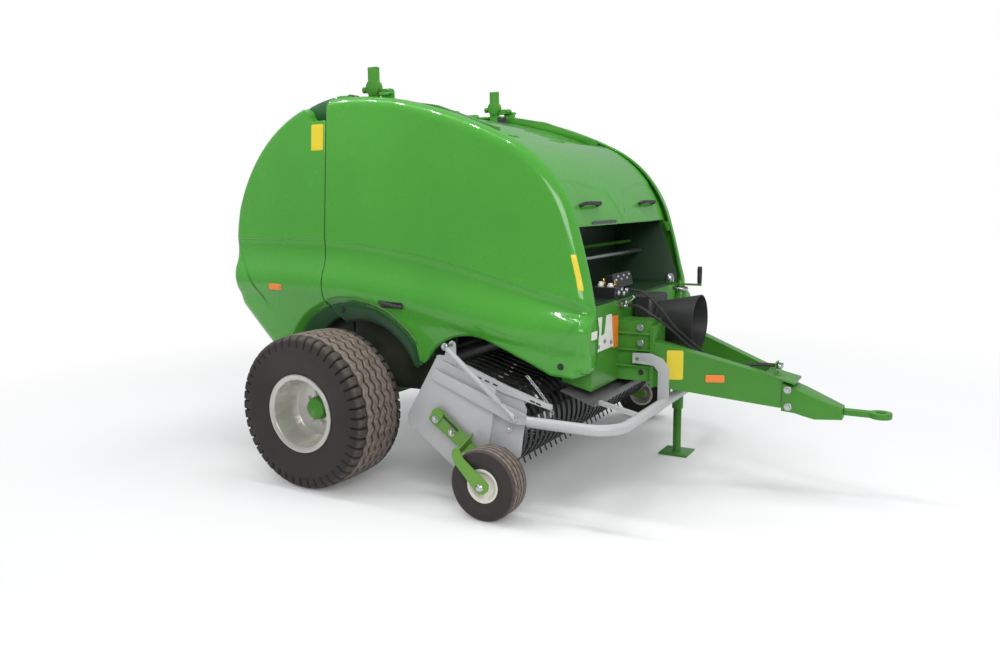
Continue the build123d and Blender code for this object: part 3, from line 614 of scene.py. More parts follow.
def tyre(name, centre, half_width, radius, seat, waves, grooves, cuts, depth, turns, widths):
    """A closed ring of angle by width. The radius is the profile's less the grooves' depth."""
    profile = even_steps(tyre_profile(half_width, radius, seat, radius * 0.09), 1500)
    dense = np.cumsum(np.where(profile[:, 1] > radius * 0.82, 3.4, 1.0))
    pick = np.interp(np.linspace(dense[0], dense[-1], widths), dense, np.arange(1500))
    profile = np.stack([np.interp(pick, np.arange(1500), profile[:, k]) for k in (0, 1)], 1)
    w, r = profile[:, 0], profile[:, 1]
    angle = np.linspace(0, 2 * math.pi, turns, endpoint=False)[:, None]
    crown = np.clip((r - (radius - radius * 0.10)) / (radius * 0.03), 0, 1)
    cut = np.zeros((turns, widths))
    for place, half, swing in grooves:
        line = place + swing * (2 / math.pi) * np.arcsin(np.sin(waves * angle))
        cut = np.maximum(cut, dip(w[None, :] - line, half, 0.0016) * crown)
    lug = np.abs(((angle * cuts / (2 * math.pi)) + 0.18 * np.abs(w) / half_width + (w > 0) * 0.5) % 1 - 0.5)
    outer = np.clip((np.abs(w) - half_width * 0.66) / 0.004, 0, 1)
    shoulder = np.clip((r - (radius - radius * 0.17)) / (radius * 0.02), 0, 1)
    cut = np.maximum(cut, dip(lug * 2 * math.pi * radius / cuts, 0.0055, 0.0018) * outer * shoulder * (radius > 0.3))
    rings = np.zeros_like(w)
    for at, high in ((0.30, 0.002), (0.62, 0.0025), (0.20, 0.003)):
        rings = rings + high * np.exp(-((r - seat - (radius - seat) * at) / 0.004) ** 2) * (crown == 0)
    slope = np.gradient(profile, axis=0)
    out = np.stack([-slope[:, 1], slope[:, 0]], 1) / np.linalg.norm(slope, axis=1)[:, None]
    lift = rings[None, :] - depth * cut
    w_all = w[None, :] + lift * out[:, 0]
    r_all = r[None, :] + lift * out[:, 1]
    inner = np.stack([np.full((turns, 3), 1.0) * k for k in (w[-1], 0.0, w[0])], -1)[:, 0]
    w_all = np.concatenate([w_all, inner], 1)
    r_all = np.concatenate([r_all, np.full((turns, 3), seat)], 1)
    points = np.stack([centre[0] + r_all * np.cos(angle), centre[1] + w_all, centre[2] + r_all * np.sin(angle)], -1)
    piece = grid_mesh(name, points, wrap_rows=True, wrap_columns=True)
    worn = (1 - cut) * np.clip((r - radius * 0.93) / (radius * 0.04), 0, 1) * (1 - 0.75 * outer)
    worn = np.concatenate([worn, np.zeros((turns, 3))], 1)
    piece.data.attributes.new("worn", "FLOAT", "POINT").data.foreach_set("value", worn.ravel().astype(np.float32))
    # deep is 1 in a groove, where the tread shader paints painted shade, near black
    deep = np.concatenate([cut, np.zeros((turns, 3))], 1)
    piece.data.attributes.new("deep", "FLOAT", "POINT").data.foreach_set("value", deep.ravel().astype(np.float32))
    return piece


# %% Tread rubber
def tread_rubber():
    """Rubber whose ribs are pale with road dust and whose grooves are painted near black as painted shade. The tyre's
    own point values say
    where: worn is 1 on a rib and deep is 1 in a groove, and a noise breaks the dust up."""
    made = finish("tread_rubber", (0.034, 0.028, 0.026), drift=0.25, rough=0.62, grain=0.4, grain_scale=180,
                  grain_depth=0.001, specular=0.35, dust=0.05)
    tree = made.node_tree
    shader = tree.nodes["Principled BSDF"]
    colour_in = shader.inputs["Base Color"]
    before = colour_in.links[0].from_socket
    place = tree.nodes.new("ShaderNodeTexCoord")
    speckle = tree.nodes.new("ShaderNodeTexNoise")
    speckle.inputs["Scale"].default_value = 45.0
    speckle.inputs["Detail"].default_value = 5.0
    tree.links.new(place.outputs["Object"], speckle.inputs["Vector"])
    # worn lays pale dust on the ribs; deep paints the grooves near black, a painted shade
    for label, colour, low, high in (("worn", (0.30, 0.235, 0.20, 1), 0.35, 0.62),
                                     ("deep", (0.006, 0.005, 0.005, 1), 0.0, 0.1)):
        where = tree.nodes.new("ShaderNodeAttribute")
        where.attribute_name = label
        broken = tree.nodes.new("ShaderNodeMapRange")
        broken.inputs["From Min"].default_value = low
        broken.inputs["From Max"].default_value = high
        broken.inputs["To Min"].default_value = 0.45 if label == "worn" else 1.0
        broken.inputs["To Max"].default_value = 0.95 if label == "worn" else 1.0
        tree.links.new(speckle.outputs["Fac"], broken.inputs["Value"])
        amount = tree.nodes.new("ShaderNodeMath")
        amount.operation = "MULTIPLY"
        tree.links.new(where.outputs["Fac"], amount.inputs[0])
        tree.links.new(broken.outputs["Result"], amount.inputs[1])
        over = tree.nodes.new("ShaderNodeMix")
        over.data_type = "RGBA"
        tree.links.new(amount.outputs[0], over.inputs["Factor"])
        tree.links.new(before, over.inputs["A"])
        over.inputs["B"].default_value = colour
        before = over.outputs["Result"]
    tree.links.new(before, colour_in)
    return made


# %% The four tyres
tread_finish = tread_rubber()
# half width, radius and seat radius of a main and of a small tyre
main_half, main_radius, main_seat = 0.200, 0.437, 0.200
small_half, small_radius, small_seat = 0.075, 0.185, 0.085
# place across, half width, swing of the wave
main_grooves = [(-0.081, 0.0058, 0.0105), (-0.027, 0.0058, 0.0105), (0.027, 0.0058, 0.0105), (0.081, 0.0058, 0.0105),
                (-0.132, 0.0045, 0.0060), (0.132, 0.0045, 0.0060)]
small_grooves = [(-0.030, 0.0030, 0.0), (0.0, 0.0030, 0.0), (0.030, 0.0030, 0.0)]
for side_name, side in (("left", 1), ("right", -1)):
    low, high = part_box(f"tyre_{side_name}")
    centre = ((low.x + high.x) / 2, (low.y + high.y) / 2, (low.z + high.z) / 2)
    made = tyre(f"main_tyre_{side_name}", centre, main_half, main_radius, main_seat, 36, main_grooves, 46, 0.0125,
                504, 178)
    made.data.materials.append(tread_finish)
    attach(made, f"wheel_{side_name}")
    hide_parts(f"tyre_{side_name}")
    low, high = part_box(f"gauge_tyre_{side_name}")
    centre = ((low.x + high.x) / 2, (low.y + high.y) / 2, (low.z + high.z) / 2)
    small = tyre(f"small_tyre_{side_name}", centre, small_half, small_radius, small_seat, 20, small_grooves, 60,
                 0.004, 240, 96)
    small.data.materials.append(tread_finish)
    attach(small, f"gauge_wheel_{side_name}")
    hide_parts(f"gauge_tyre_{side_name}")
print("main tyre faces", len(made.data.polygons), "small tyre faces", len(small.data.polygons))

# %% [markdown]
# ## Steel with broken edges
# Sheared and welded steel never has a knife edge. The steel pieces listed below get a copy of their
# own form with the flat facets joined and the edges rounded by a millimetre or two, which is what
# draws the thin bright lines along real plates.

# %% Rounded copies of the steel pieces
import bmesh

body_of = {node: body for body, held in frame["record"]["behaviour"]["bodies"].items() for node in held}


def settle(piece, slot, body, replaced=None):
    """Give a piece the finish named by its slot and its body and, where it has one, hide the node it stands for."""
    piece.data.materials.clear()
    piece.data.materials.append(finishes[slot])
    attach(piece, body)
    if replaced:
        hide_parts(replaced)
    return piece


def softened(node, width, angle=38):
    """The node's form with its facets joined, and a bevel of the given width on edges sharper than angle."""
    mesh = bpy.data.meshes.new(f"{node}_steel")
    work = bmesh.new()
    work.from_mesh(nodes[node].data)
    work.transform(nodes[node].matrix_world)
    bmesh.ops.remove_doubles(work, verts=work.verts, dist=1e-5)
    bmesh.ops.dissolve_limit(work, angle_limit=math.radians(1.0), verts=work.verts, edges=work.edges)
    work.to_mesh(mesh)
    work.free()
    mesh.polygons.foreach_set("use_smooth", np.ones(len(mesh.polygons), bool))
    piece = bpy.data.objects.new(f"{node}_steel", mesh)
    bpy.context.scene.collection.objects.link(piece)
    edge = piece.modifiers.new("edges", "BEVEL")
    edge.width = width
    edge.segments = 2
    edge.limit_method = "ANGLE"
    edge.angle_limit = math.radians(angle)
    edge.use_clamp_overlap = True
    edge.harden_normals = True
    return settle(piece, slot_of[node], body_of[node], node)


soft_edges = {
    0.0025: ("front_frame", "drawbar", "hitch_adapter", "jack_leg", "wind_guard", "gearbox", "axle_beam"),
    0.0015: ("pickup_frame", "roof_post_left", "roof_post_right",
             "tension_rail_left", "tension_rail_right", "jack_sleeve", "deflector_plate",
             "net_compartment", "tailgate_frame", "tailgate_back", "hinge_brackets", "roof_deck"),
    0.0035: ("hitch_eye", "rim_left", "rim_right", "hub_left", "hub_right",
             "gauge_rim_left", "gauge_rim_right"),
}
for width, group in soft_edges.items():
    for node in group:
        softened(node, width)
# the tailgate frame shows only inside the arches and the chamber, so it takes the near-black painted shade of the
# wall
for node in ("tailgate_frame",):
    bpy.data.objects[f"{node}_steel"].data.materials[0] = finishes["shaded_wall"]
print("rounded steel pieces:", sum(len(group) for group in soft_edges.values()))

# %% [markdown]
# ## Small parts
# Bolts, pins, handles and tubes are all grids too. A bolt is a stack of rings whose radius is round for the
# washer and six-sided for the head. A tube follows a line, with one ring round each of its points.


# %% Tubes, turned parts, bolts and patches
def merged(piece, gap=1e-6):
    """Join the points that fall together, so that poles and seams close."""
    work = bmesh.new()
    work.from_mesh(piece.data)
    bmesh.ops.remove_doubles(work, verts=work.verts, dist=gap)
    bmesh.ops.recalc_face_normals(work, faces=work.faces)
    work.to_mesh(piece.data)
    work.free()
    return piece


def unit(vector):
    vector = np.asarray(vector, float)
    return vector / np.linalg.norm(vector, axis=-1, keepdims=True)


def tube(name, line, radius, across=(0, 1, 0), sides=14):
    """A round bar along a line: ring k is centre k + radius (cos a u + sin a v), with u and v square to the
    line's run. across is a direction that the line never follows. Both ends are closed to a point."""
    line = np.asarray(line, float)
    run = unit(np.gradient(line, axis=0))
    u = unit(np.cross(run, across))
    v = np.cross(run, u)
    angle = np.linspace(0, 2 * math.pi, sides, endpoint=False)
    size = np.broadcast_to(np.asarray(radius, float), len(line))
    rings = line[:, None] + size[:, None, None] * (np.cos(angle)[:, None] * u[:, None] + np.sin(angle)[:,
            None] * v[:, None])
    first, last = (np.repeat(line[k][None, None], sides, 1) for k in (0, -1))
    rings = np.concatenate([first, rings, last])
    rings[..., 0] += axle_x
    return merged(grid_mesh(name, rings, wrap_columns=True))


def bolt_heads(name, places, normal, size=0.012, slot="bright_steel", body="chassis"):
    """Hexagon heads on washers at many places that face one way. The radius at angle a of a six-sided ring is
    size / cos(a mod 60 - 30 degrees), and the rings from washer to crown are the same for all."""
    places = np.asarray(places, float)
    normal = unit(normal)
    u = unit(np.cross(normal, (0.31, 0.52, 0.79)))
    v = np.cross(normal, u)
    angle = np.linspace(0, 2 * math.pi, 24, endpoint=False)
    six = size / np.cos(angle % (math.pi / 3) - math.pi / 6) * 0.92
    round_ = np.full(24, size * 1.55)
    rings = [(round_ * 0, -0.05), (round_, -0.05), (round_, 0.16), (round_ * 0.94, 0.22), (six, 0.22), (six, 0.85),
             (six * 0.90, 1.0), (six * 0, 1.0)]
    stack = np.stack([np.stack([r * np.cos(angle), r * np.sin(angle), np.full(24, h * size)], -1) for r, h in rings])
    points = (places[:, None, None] + stack[..., 0:1] * u + stack[..., 1:2] * v + stack[..., 2:3] * normal)
    points[..., 0] += axle_x
    pieces = len(places)
    index = np.arange(points[0].size // 3).reshape(len(rings), 24)
    index = np.hstack([index, index[:, :1]])
    quads = np.stack([index[:-1, :-1], index[:-1, 1:], index[1:, 1:], index[1:, :-1]], -1).reshape(-1, 4)
    quads = (quads[None] + (np.arange(pieces) * len(rings) * 24)[:, None, None]).reshape(-1, 4)
    mesh = bpy.data.meshes.new(name)
    mesh.from_pydata(points.reshape(-1, 3).tolist(), [], quads.tolist())
    piece = bpy.data.objects.new(name, mesh)
    bpy.context.scene.collection.objects.link(piece)
    return settle(merged(piece), slot, body)


def slab(name, outline, origin, u, v, thickness, slot, body, width=0.0012):
    """A flat plate: an outline in the plane of u and v, as thick as asked along u x v, with rounded edges."""
    outline = np.asarray(outline, float)
    count = len(outline)
    u, v = np.asarray(u, float), np.asarray(v, float)
    face = np.asarray(origin, float) + outline[:, :1] * u + outline[:, 1:] * v
    points = np.concatenate([face, face + np.cross(u, v) * thickness])
    points[:, 0] += axle_x
    ring = np.arange(count)
    sides = np.stack([ring, np.roll(ring, -1), np.roll(ring, -1) + count, ring + count], 1)
    mesh = bpy.data.meshes.new(name)
    mesh.from_pydata(points.tolist(), [], [ring[::-1].tolist(), (ring + count).tolist()] + sides.tolist())
    piece = bpy.data.objects.new(name, mesh)
    bpy.context.scene.collection.objects.link(piece)
    edge = merged(piece).modifiers.new("edges", "BEVEL")
    edge.width = width
    edge.segments = 2
    edge.limit_method = "ANGLE"
    edge.angle_limit = math.radians(50)
    return settle(piece, slot, body)


def box_outline(wide, high, corner=0.004):
    """A rectangle about its middle with cut corners, anticlockwise."""
    a, b, c = wide / 2, high / 2, min(corner, wide / 4, high / 4)
    return [(a, -b + c), (a, b - c), (a - c, b), (-a + c, b), (-a, b - c), (-a, -b + c), (-a + c, -b), (a - c, -b)]


# %% [markdown]
# ## Trim on the covers
# Signs and reflectors follow the skin: each is a small grid laid on the same half width function, lifted by a
# millimetre or two, with no writing on it. The markers are amber, the signs plain yellow.

# %% Extra finishes of the trim
for name, colour, rough in (("sign_yellow", (0.80, 0.62, 0.02), 0.4), ("amber", (0.90, 0.23, 0.03), 0.25),
                            ("white_sheet", (0.86, 0.83, 0.78), 0.4), ("red_plastic", (0.55, 0.03, 0.02), 0.35)):
    finishes[name] = finish(name, colour, drift=0.04, rough=rough, coat=0.2)


def settle_plain(piece, finish_name, body):
    """A trim piece with a finish of its own, attached to its body."""
    piece.data.materials.clear()
    piece.data.materials.append(finishes[finish_name])
    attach(piece, body)
    return piece


def cover_width(x, z, crest, rounding=0.062):
    """Half width of a finished cover at a length and a height, with its rounded edge."""
    away = distance_to(np.stack([x, z], -1), crest)
    short = np.clip(1 - away / rounding, 0, 1)
    return half_width(x, z) - rounding * (1 - np.sqrt(1 - short ** 2))


def patch(name, x_span, z_span, crest, lift, finish_name, body, side=-1, slant=0.0):
    """A thin cushion on a cover's skin: lifted all over, and let down to the skin at its rim."""
    u, v = np.meshgrid(np.linspace(0, 1, 12), np.linspace(0, 1, 12))
    z = z_span[0] + v * (z_span[1] - z_span[0])
    x = x_span[0] + u * (x_span[1] - x_span[0]) + slant * (z - z_span[0])
    rim = np.minimum.reduce([u, 1 - u, v, 1 - v])
    y = cover_width(x, z, crest) + np.where(rim > 0, lift, -0.002)
    points = np.stack([axle_x + x, side * y, z], -1)
    piece = grid_mesh(name, points, flip=side > 0)
    return settle_plain(merged(piece), finish_name, body)


for side_name, side in (("left", 1), ("right", -1)):
    patch(f"seam_sign_{side_name}", (-0.212, -0.112), (1.872, 2.036), rear_roof, 0.0015, "sign_yellow",
          "tailgate", side)
    patch(f"side_marker_{side_name}", (-0.525, -0.420), (1.066, 1.106), rear_roof, 0.009, "amber",
          "tailgate", side)
    patch(f"edge_stripe_{side_name}", (1.470, 1.498), (1.126, 1.324), front_crest, 0.0015, "sign_yellow",
          f"cover_{side_name}", side, slant=-0.26)
    # a recessed pull handle: a dark well with a bar across it
    patch(f"handle_well_{side_name}", (0.312, 0.476), (1.000, 1.040), front_crest, 0.002, "dark_plastic",
          f"cover_{side_name}", side)
    at = np.array([0.316, 0.472])
    y = cover_width(at, np.array([1.022, 1.016]), front_crest) + 0.006
    bar = np.stack([np.linspace(0.316, 0.472, 12), side * (y[0] + (y[1] - y[0]) * np.linspace(0, 1, 12)
                    + 0.012 * np.sin(np.linspace(0, math.pi, 12))), np.linspace(1.032, 1.012, 12)], -1)
    settle(tube(f"pull_bar_{side_name}", bar, 0.011, across=(0, 0, 1)), "dark_plastic", f"cover_{side_name}")
    place = np.array([[0.030, 0.971]])
    y = cover_width(place[:, 0], place[:, 1], front_crest)[0]
    bolt_heads(f"cover_lock_{side_name}", [(0.030, side * (y - 0.001), 0.975)], (0, side, 0), 0.012, "dark_plastic",
               f"cover_{side_name}")
    y = cover_width(np.array([1.392]), np.array([0.750]), front_crest)[0]
    bolt_heads(f"cover_bolt_{side_name}", [(1.392, side * (y - 0.002), 0.750)], (0, side, 0), 0.012, "dark_plastic",
               f"cover_{side_name}")
print("cover trim placed on both sides")

# %% [markdown]
# ## Hinges, handles and the hood's fittings
# The rebuilt skins cover the steel knuckles of their nodes, so the knuckles are laid again: short round
# bars on the hinge lines.

# %% Knuckles and handles
for side_name, side in (("left", 1), ("right", -1)):
    for k, x in enumerate((-0.044, 0.262)):
        bar = np.stack([np.linspace(x - 0.020, x + 0.020, 3), np.full(3, side * 0.720), np.full(3, 2.180)], -1)
        settle(tube(f"cover_knuckle_{side_name}_{k}", bar, 0.0065), "light_green_paint", f"cover_{side_name}")
        slab(f"cover_leaf_{side_name}_{k}", box_outline(0.040, 0.022), (x, side * 0.731, 2.170), (1, 0, 0),
             (0, 1, 0), 0.005, "light_green_paint", f"cover_{side_name}")
for k, y in enumerate((-0.58, 0.0, 0.58)):
    bar = np.stack([np.full(3, 0.995), np.linspace(y - 0.020, y + 0.020, 3), np.full(3, 1.918)], -1)
    settle(tube(f"hood_knuckle_{k}", bar, 0.008, across=(0, 0, 1)), "green_paint", "hood")
for side_name, side in (("left", 1), ("right", -1)):
    y = side * 0.44
    corner = [(1.352, y - 0.112, 1.546), (1.385, y - 0.110, 1.561), (1.392, y - 0.095, 1.564),
              (1.394, y, 1.565), (1.392, y + 0.095, 1.564), (1.385, y + 0.110, 1.561), (1.352, y + 0.112, 1.546)]
    settle(tube(f"hood_handle_{side_name}", even_steps(corner, 40), 0.0105, across=(0.4, 0, -0.9)), "dark_plastic",
           "hood")
slab("hood_latch_strip", box_outline(0.34, 0.018), (1.4005, -0.30, 1.462), (0, 1, 0), (0.35, 0, 0.94), 0.004,
     "black_steel", "hood")
for side_name, side in (("left", 1), ("right", -1)):
    slab(f"hood_stop_{side_name}", [(0, 0), (0.034, -0.004), (0.046, -0.060), (0.030, -0.064), (0.016, -0.02)],
         (1.392, side * 0.7075 + 0.009, 1.438), (1, 0, 0), (0, 0, 1), 0.018, "green_paint", "chassis")
print("knuckles and handles placed")

# %% [markdown]
# ## Wheel arches and the dark inside
# Behind each wheel a slanted liner runs from the sill in towards the chamber. Its outer row is the sill itself,
# its inner row the same line drawn in towards the axle. The liners and the pocket get a darker green, and the chamber
# wall behind them a near-black green with dust: both are painted shade.

# %% Arch liners, the pocket above the seam and the shaded wall
# a darker green than the covers' paint: painted shade on the arch liners and the seam pocket
finishes["arch_shade_green"] = finish("arch_shade_green", (0.018, 0.120, 0.028), drift=0.3, rough=0.5, coat=0.15)
# the chamber walls and the axle beam take the same near-black painted shade
for node in ("chamber_walls", "axle_beam"):
    for k in range(len(nodes[node].data.materials)):
        nodes[node].data.materials[k] = finishes["shaded_wall"]


def arch_liner(name, sill, band, shrink, inner, body, side):
    """Rows from a sill line to the same line scaled about the axle; half width eases from the sill's to inner."""
    line = even_steps(sill, 60)
    hub = np.array([0.0, 0.437])
    rows = np.linspace(0, 1, 9)[:, None]
    x = hub[0] + (line[:, 0] - hub[0])[None] * (1 - (1 - shrink) * rows)
    z = hub[1] + (line[:, 1] - hub[1])[None] * (1 - (1 - shrink) * rows)
    outer = half_width(line[:, 0], line[:, 1]) - band(line[:, 0])[1] - 0.006
    y = outer[None] + (inner - outer[None]) * rows ** 1.3
    points = np.stack([axle_x + x, side * y, z], -1)
    piece = grid_mesh(name, points, flip=side > 0)
    wall = piece.modifiers.new("sheet", "SOLIDIFY")
    wall.thickness = 0.003
    wall.offset = -1
    # the liner is painted the darker green: painted shade
    return settle_plain(piece, "arch_shade_green", body)


for side_name, side in (("left", 1), ("right", -1)):
    arch_liner(f"front_arch_liner_{side_name}", np.vstack([front_sill[:24], [(0.545, 0.690)]]), front_band, 0.79,
               0.725, f"cover_{side_name}", side)
    arch_liner(f"rear_arch_liner_{side_name}", rear_sill[:24], rear_band, 0.86, 0.730, "tailgate", side)
    roof = even_steps(rear_roof[:8], 20)
    roof = roof[roof[:, 0] > -0.275] + (0, 0.008)
    rows = [(0.747, lambda z: np.full_like(z, 2.030)), (0.747, lambda z: 0.5 * (2.030 + z)),
            (0.747, lambda z: z - 0.006),
            (0.740, lambda z: z - 0.001), (0.700, lambda z: z - 0.001)]
    pocket = np.stack([np.stack([axle_x + roof[:, 0], np.full(len(roof), side * y), high(roof[:, 1])], -1)
                       for y, high in rows])
    piece = grid_mesh(f"seam_pocket_{side_name}", pocket, flip=side < 0)
    wall = piece.modifiers.new("sheet", "SOLIDIFY")
    wall.thickness = 0.003
    # the pocket takes the darker green too: painted shade of the recess
    settle_plain(piece, "arch_shade_green", "tailgate")
print("arch liners and pockets placed")

# %% [markdown]
# ## Fittings of the frame, drawbar and wheels
# Turned parts are a profile of height and radius spun about an axis. A chain is one oval link repeated along a
# line, every second one turned a quarter.


# %% Turned parts and chains
def turned(name, foot, axis, profile, slot, body, sides=36, finish_name=None):
    """A profile of (height, radius) points spun about an axis. It closes where it starts and ends on the axis,
    or as a ring where it ends at its first point."""
    profile = np.asarray(profile, float)
    axis = unit(axis)
    u = unit(np.cross(axis, (0.31, 0.52, 0.79)))
    v = np.cross(axis, u)
    angle = np.linspace(0, 2 * math.pi, sides, endpoint=False)
    points = (np.asarray(foot, float) + profile[:, None, :1] * axis
              + profile[:, None, 1:] * (np.cos(angle)[:, None] * u + np.sin(angle)[:, None] * v))
    points[..., 0] += axle_x
    piece = merged(grid_mesh(name, points, wrap_columns=True))
    return settle(piece, slot, body) if finish_name is None else settle_plain(piece, finish_name, body)


def side_plate(name, outline, side, inner, thick, slot, body, width=0.002):
    """A plate that stands across y: an outline in x and z, from |y| = inner outward by its thickness. Its u is
    -side times x, so that u x z points outward on both sides."""
    return slab(name, np.array(outline) * (-side, 1), (0, side * inner, 0), (-side, 0, 0), (0, 0, 1), thick, slot,
                body, width)


def chain(name, line, slot, body, pitch=0.017, wire=0.0024):
    """Oval links along a line: centre of link k is k pitches along, its loop has half sizes .012 and .007."""
    line = np.asarray(line, float)
    length = np.linalg.norm(np.diff(line, axis=0), axis=1).sum()
    centre = even_steps(line, int(length / pitch) + 1)
    run = unit(np.gradient(centre, axis=0))
    sideways = unit(np.cross(run, (0.2, 0.9, 0.3)))
    third = np.cross(run, sideways)
    odd = (np.arange(len(centre)) % 2)[:, None]
    broad = np.where(odd, sideways, third)
    thin = np.where(odd, third, sideways)
    a, b = np.meshgrid(np.linspace(0, 2 * math.pi, 16, endpoint=False),
                       np.linspace(0, 2 * math.pi, 6, endpoint=False),
                       indexing="ij")
    along = (0.012 + wire * np.cos(b)) * np.cos(a)
    out = (0.007 + wire * np.cos(b)) * np.sin(a)
    lift = wire * np.sin(b)
    points = (centre[:, None, None] + along[None, ..., None] * run[:, None, None] + out[None, ..., None] * broad[:,
            None, None]
              + lift[None, ..., None] * thin[:, None, None])
    points[..., 0] += axle_x
    index = np.arange(96).reshape(16, 6)
    index = np.vstack([index, index[:1]])
    index = np.hstack([index, index[:, :1]])
    quads = np.stack([index[:-1, :-1], index[:-1, 1:], index[1:, 1:], index[1:, :-1]], -1).reshape(-1, 4)
    quads = (quads[None] + 96 * np.arange(len(centre))[:, None, None]).reshape(-1, 4)
    mesh = bpy.data.meshes.new(name)
    mesh.from_pydata(points.reshape(-1, 3).tolist(), [], quads.tolist())
    mesh.polygons.foreach_set("use_smooth", np.ones(len(mesh.polygons), bool))
    piece = bpy.data.objects.new(name, mesh)
    bpy.context.scene.collection.objects.link(piece)
    return settle(merged(piece, 1e-7), slot, body)


# %% Signs, markers and bolts on the frame and the drawbar
along_beam = unit((0.093, 0.0363, 0.0))
for side_name, side in (("left", 1), ("right", -1)):
    run = along_beam * (-1, 1, 1) if side > 0 else along_beam
    settle_plain(slab(f"beam_sign_{side_name}", box_outline(0.088, 0.160, 0.006), (1.8105, side * 0.2906, 0.6965),
                             run, (0, 0, 1), 0.001, "rim_paint", "chassis", 0.0004), "sign_yellow",
                 "chassis")
    settle_plain(slab(f"beam_marker_{side_name}", box_outline(0.100, 0.040), (2.0085, side * 0.2147, 0.6255), run,
                      (0, 0, 1), 0.007, "dark_plastic", "chassis", 0.002), "amber", "chassis")
    settle_plain(slab(f"front_reflector_{side_name}", box_outline(0.070, 0.042), (1.5500, side * 0.788, 0.911),
                      (0, 1, 0), (0.06, 0, 1.0), 0.003, "rim_paint", f"cover_{side_name}", 0.001), "white_sheet",
                 f"cover_{side_name}")
    if side < 0:  # on the other side the jack stands here
        bolt_heads("ear_bolts", [(1.632, -0.3497, 0.897), (1.633, -0.3497, 0.814)], (0, side, 0), 0.012,
                   "bright_steel")
    bolt_heads(f"mount_bolt_{side_name}", [(1.633, side * 0.330, 0.648)], (0, side, 0), 0.010, "black_steel")
    bolt_heads(f"hitch_bolts_{side_name}", [(2.362, side * 0.0855, 0.573), (2.367, side * 0.0855, 0.481)],
               (0, side, 0),
               0.013, "bright_steel")
    for k, (colour, wide, shift) in enumerate((("red_plastic", 0.090, -0.068), ("amber", 0.056, 0.012),
                                              ("red_plastic", 0.056, 0.074))):
        settle_plain(slab(f"lamp_lens_{side_name}_{k}", box_outline(wide, 0.074, 0.008),
                          (-0.871, side * 0.5 - shift, 1.0),
                          (0, -1, 0), (0, 0, 1), 0.006, "dark_plastic", "tailgate", 0.002), colour,
                     "tailgate")
plate = np.array([(-0.675, 0.800), (-0.429, 0.800), (-0.440, 0.880), (-0.453, 0.977), (-0.503, 0.977),
                  (-0.532, 0.882),
                  (-0.560, 0.877), (-0.599, 0.882), (-0.583, 0.977), (-0.642, 0.977), (-0.664, 0.882)])
settle_plain(slab("holder_face", plate, (1.4990, 0, 0), (0, 1, 0), (0, 0, 1), 0.0107, "rim_paint", "chassis", 0.0004),
             "white_sheet", "chassis")
settle_plain(slab("holder_strip", box_outline(0.068, 0.172, 0.004), (1.4990, -0.394, 0.875), (0, 1, 0), (0, 0, 1),
                  0.0115,
                  "rim_paint", "chassis", 0.0008), "amber", "chassis")
bolt_heads("holder_bolts", [(1.5096, -0.640, 0.828), (1.5096, -0.470, 0.828), (1.5096, -0.555, 0.845)], (1, 0, 0),
           0.008,
           "bright_steel")
pipe = arc_through((1.532, 1.032), (1.572, 1.042), (1.598, 1.067), 10)
pipe = np.vstack([[(1.390, 1.027)], pipe])
settle(tube("feed_pipe_upper", np.insert(even_steps(pipe, 30), 1, -0.352, axis=1), 0.007), "bright_steel", "chassis")
settle(tube("feed_pipe_lower", np.insert(even_steps([(1.397, 1.012), (1.504, 1.014), (1.552, 1.013)], 12), 1,
                                         -0.352, axis=1),
            0.007), "bright_steel", "chassis")
for k, x in enumerate((1.400, 1.470, 1.540)):
    turned(f"feed_nut_{k}", (x, -0.352, 1.027 if k < 2 else 1.033), (1, 0, 0.02),
           [(0, 0), (0, 0.0125), (0.018, 0.0125), (0.018, 0)],
           "bright_steel", "chassis", 6)
print("signs, markers and bolts placed")

# %% Crank, knobs and the chain of the pickup
jack_x, jack_y = 1.622, 0.376
grip = np.array([jack_x + 0.118, jack_y, 1.072]) + np.linspace(0.004, 0.104, 8)[:, None] * unit((0, 0, 1))
settle(tube("crank_grip", grip, [0.0128, 0.0140, 0.0144, 0.0140, 0.0144, 0.0148, 0.0144, 0.0128]), "dark_plastic",
       "chassis")
turned("crank_ball", (jack_x - 0.070, jack_y, 1.070), (0, 0, 1),
       [(0, 0), (0, 0.020), (0.006, 0.026), (0.030, 0.0302), (0.052, 0.024),
                                                      (0.060, 0.012), (0.062, 0)], "bright_steel", "chassis")
turned("crank_collar", (jack_x, jack_y, 1.030), (0, 0, 1),
       [(0, 0), (0, 0.046), (0.012, 0.048), (0.020, 0.044), (0.020, 0)],
       "bright_steel", "chassis")
for k, x in enumerate((0.169, 0.243)):
    turned(f"red_knob_{k}", (x, 0.628, 2.084 + 0.004 * k), (0, -1, 0),
           [(0, 0), (0, 0.014), (0.010, 0.0175), (0.020, 0.0165), (0.024, 0.010),
                                                     (0.024, 0)], "dark_plastic", "chassis",
           finish_name="red_plastic")
chain("pickup_chain", [(1.280, -0.984, 0.711), (1.321, -0.984, 0.667), (1.356, -0.984, 0.627), (1.385, -0.984, 0.593),
                       (1.414, -0.990, 0.548)], "bright_steel", "pickup")
for side_name, side in (("left", 1), ("right", -1)):
    clip = [(1.240, 1.097, 0.498), (1.262, 1.097, 0.534), (1.272, 1.097, 0.526), (1.264, 1.097, 0.508),
            (1.250, 1.097, 0.519), (1.238, 1.097, 0.512)]
    clip = even_steps(np.array(clip) * (1, side, 1), 30)
    settle(tube(f"strut_clip_{side_name}", clip, 0.0026, sides=8), "bright_steel", "pickup")
print("crank, knobs, chain and clips placed")

# %% [markdown]
# ## Wheels: nuts, hub rings, valve
# Eight nuts sit on the disc, and the hub cap has turned rings.

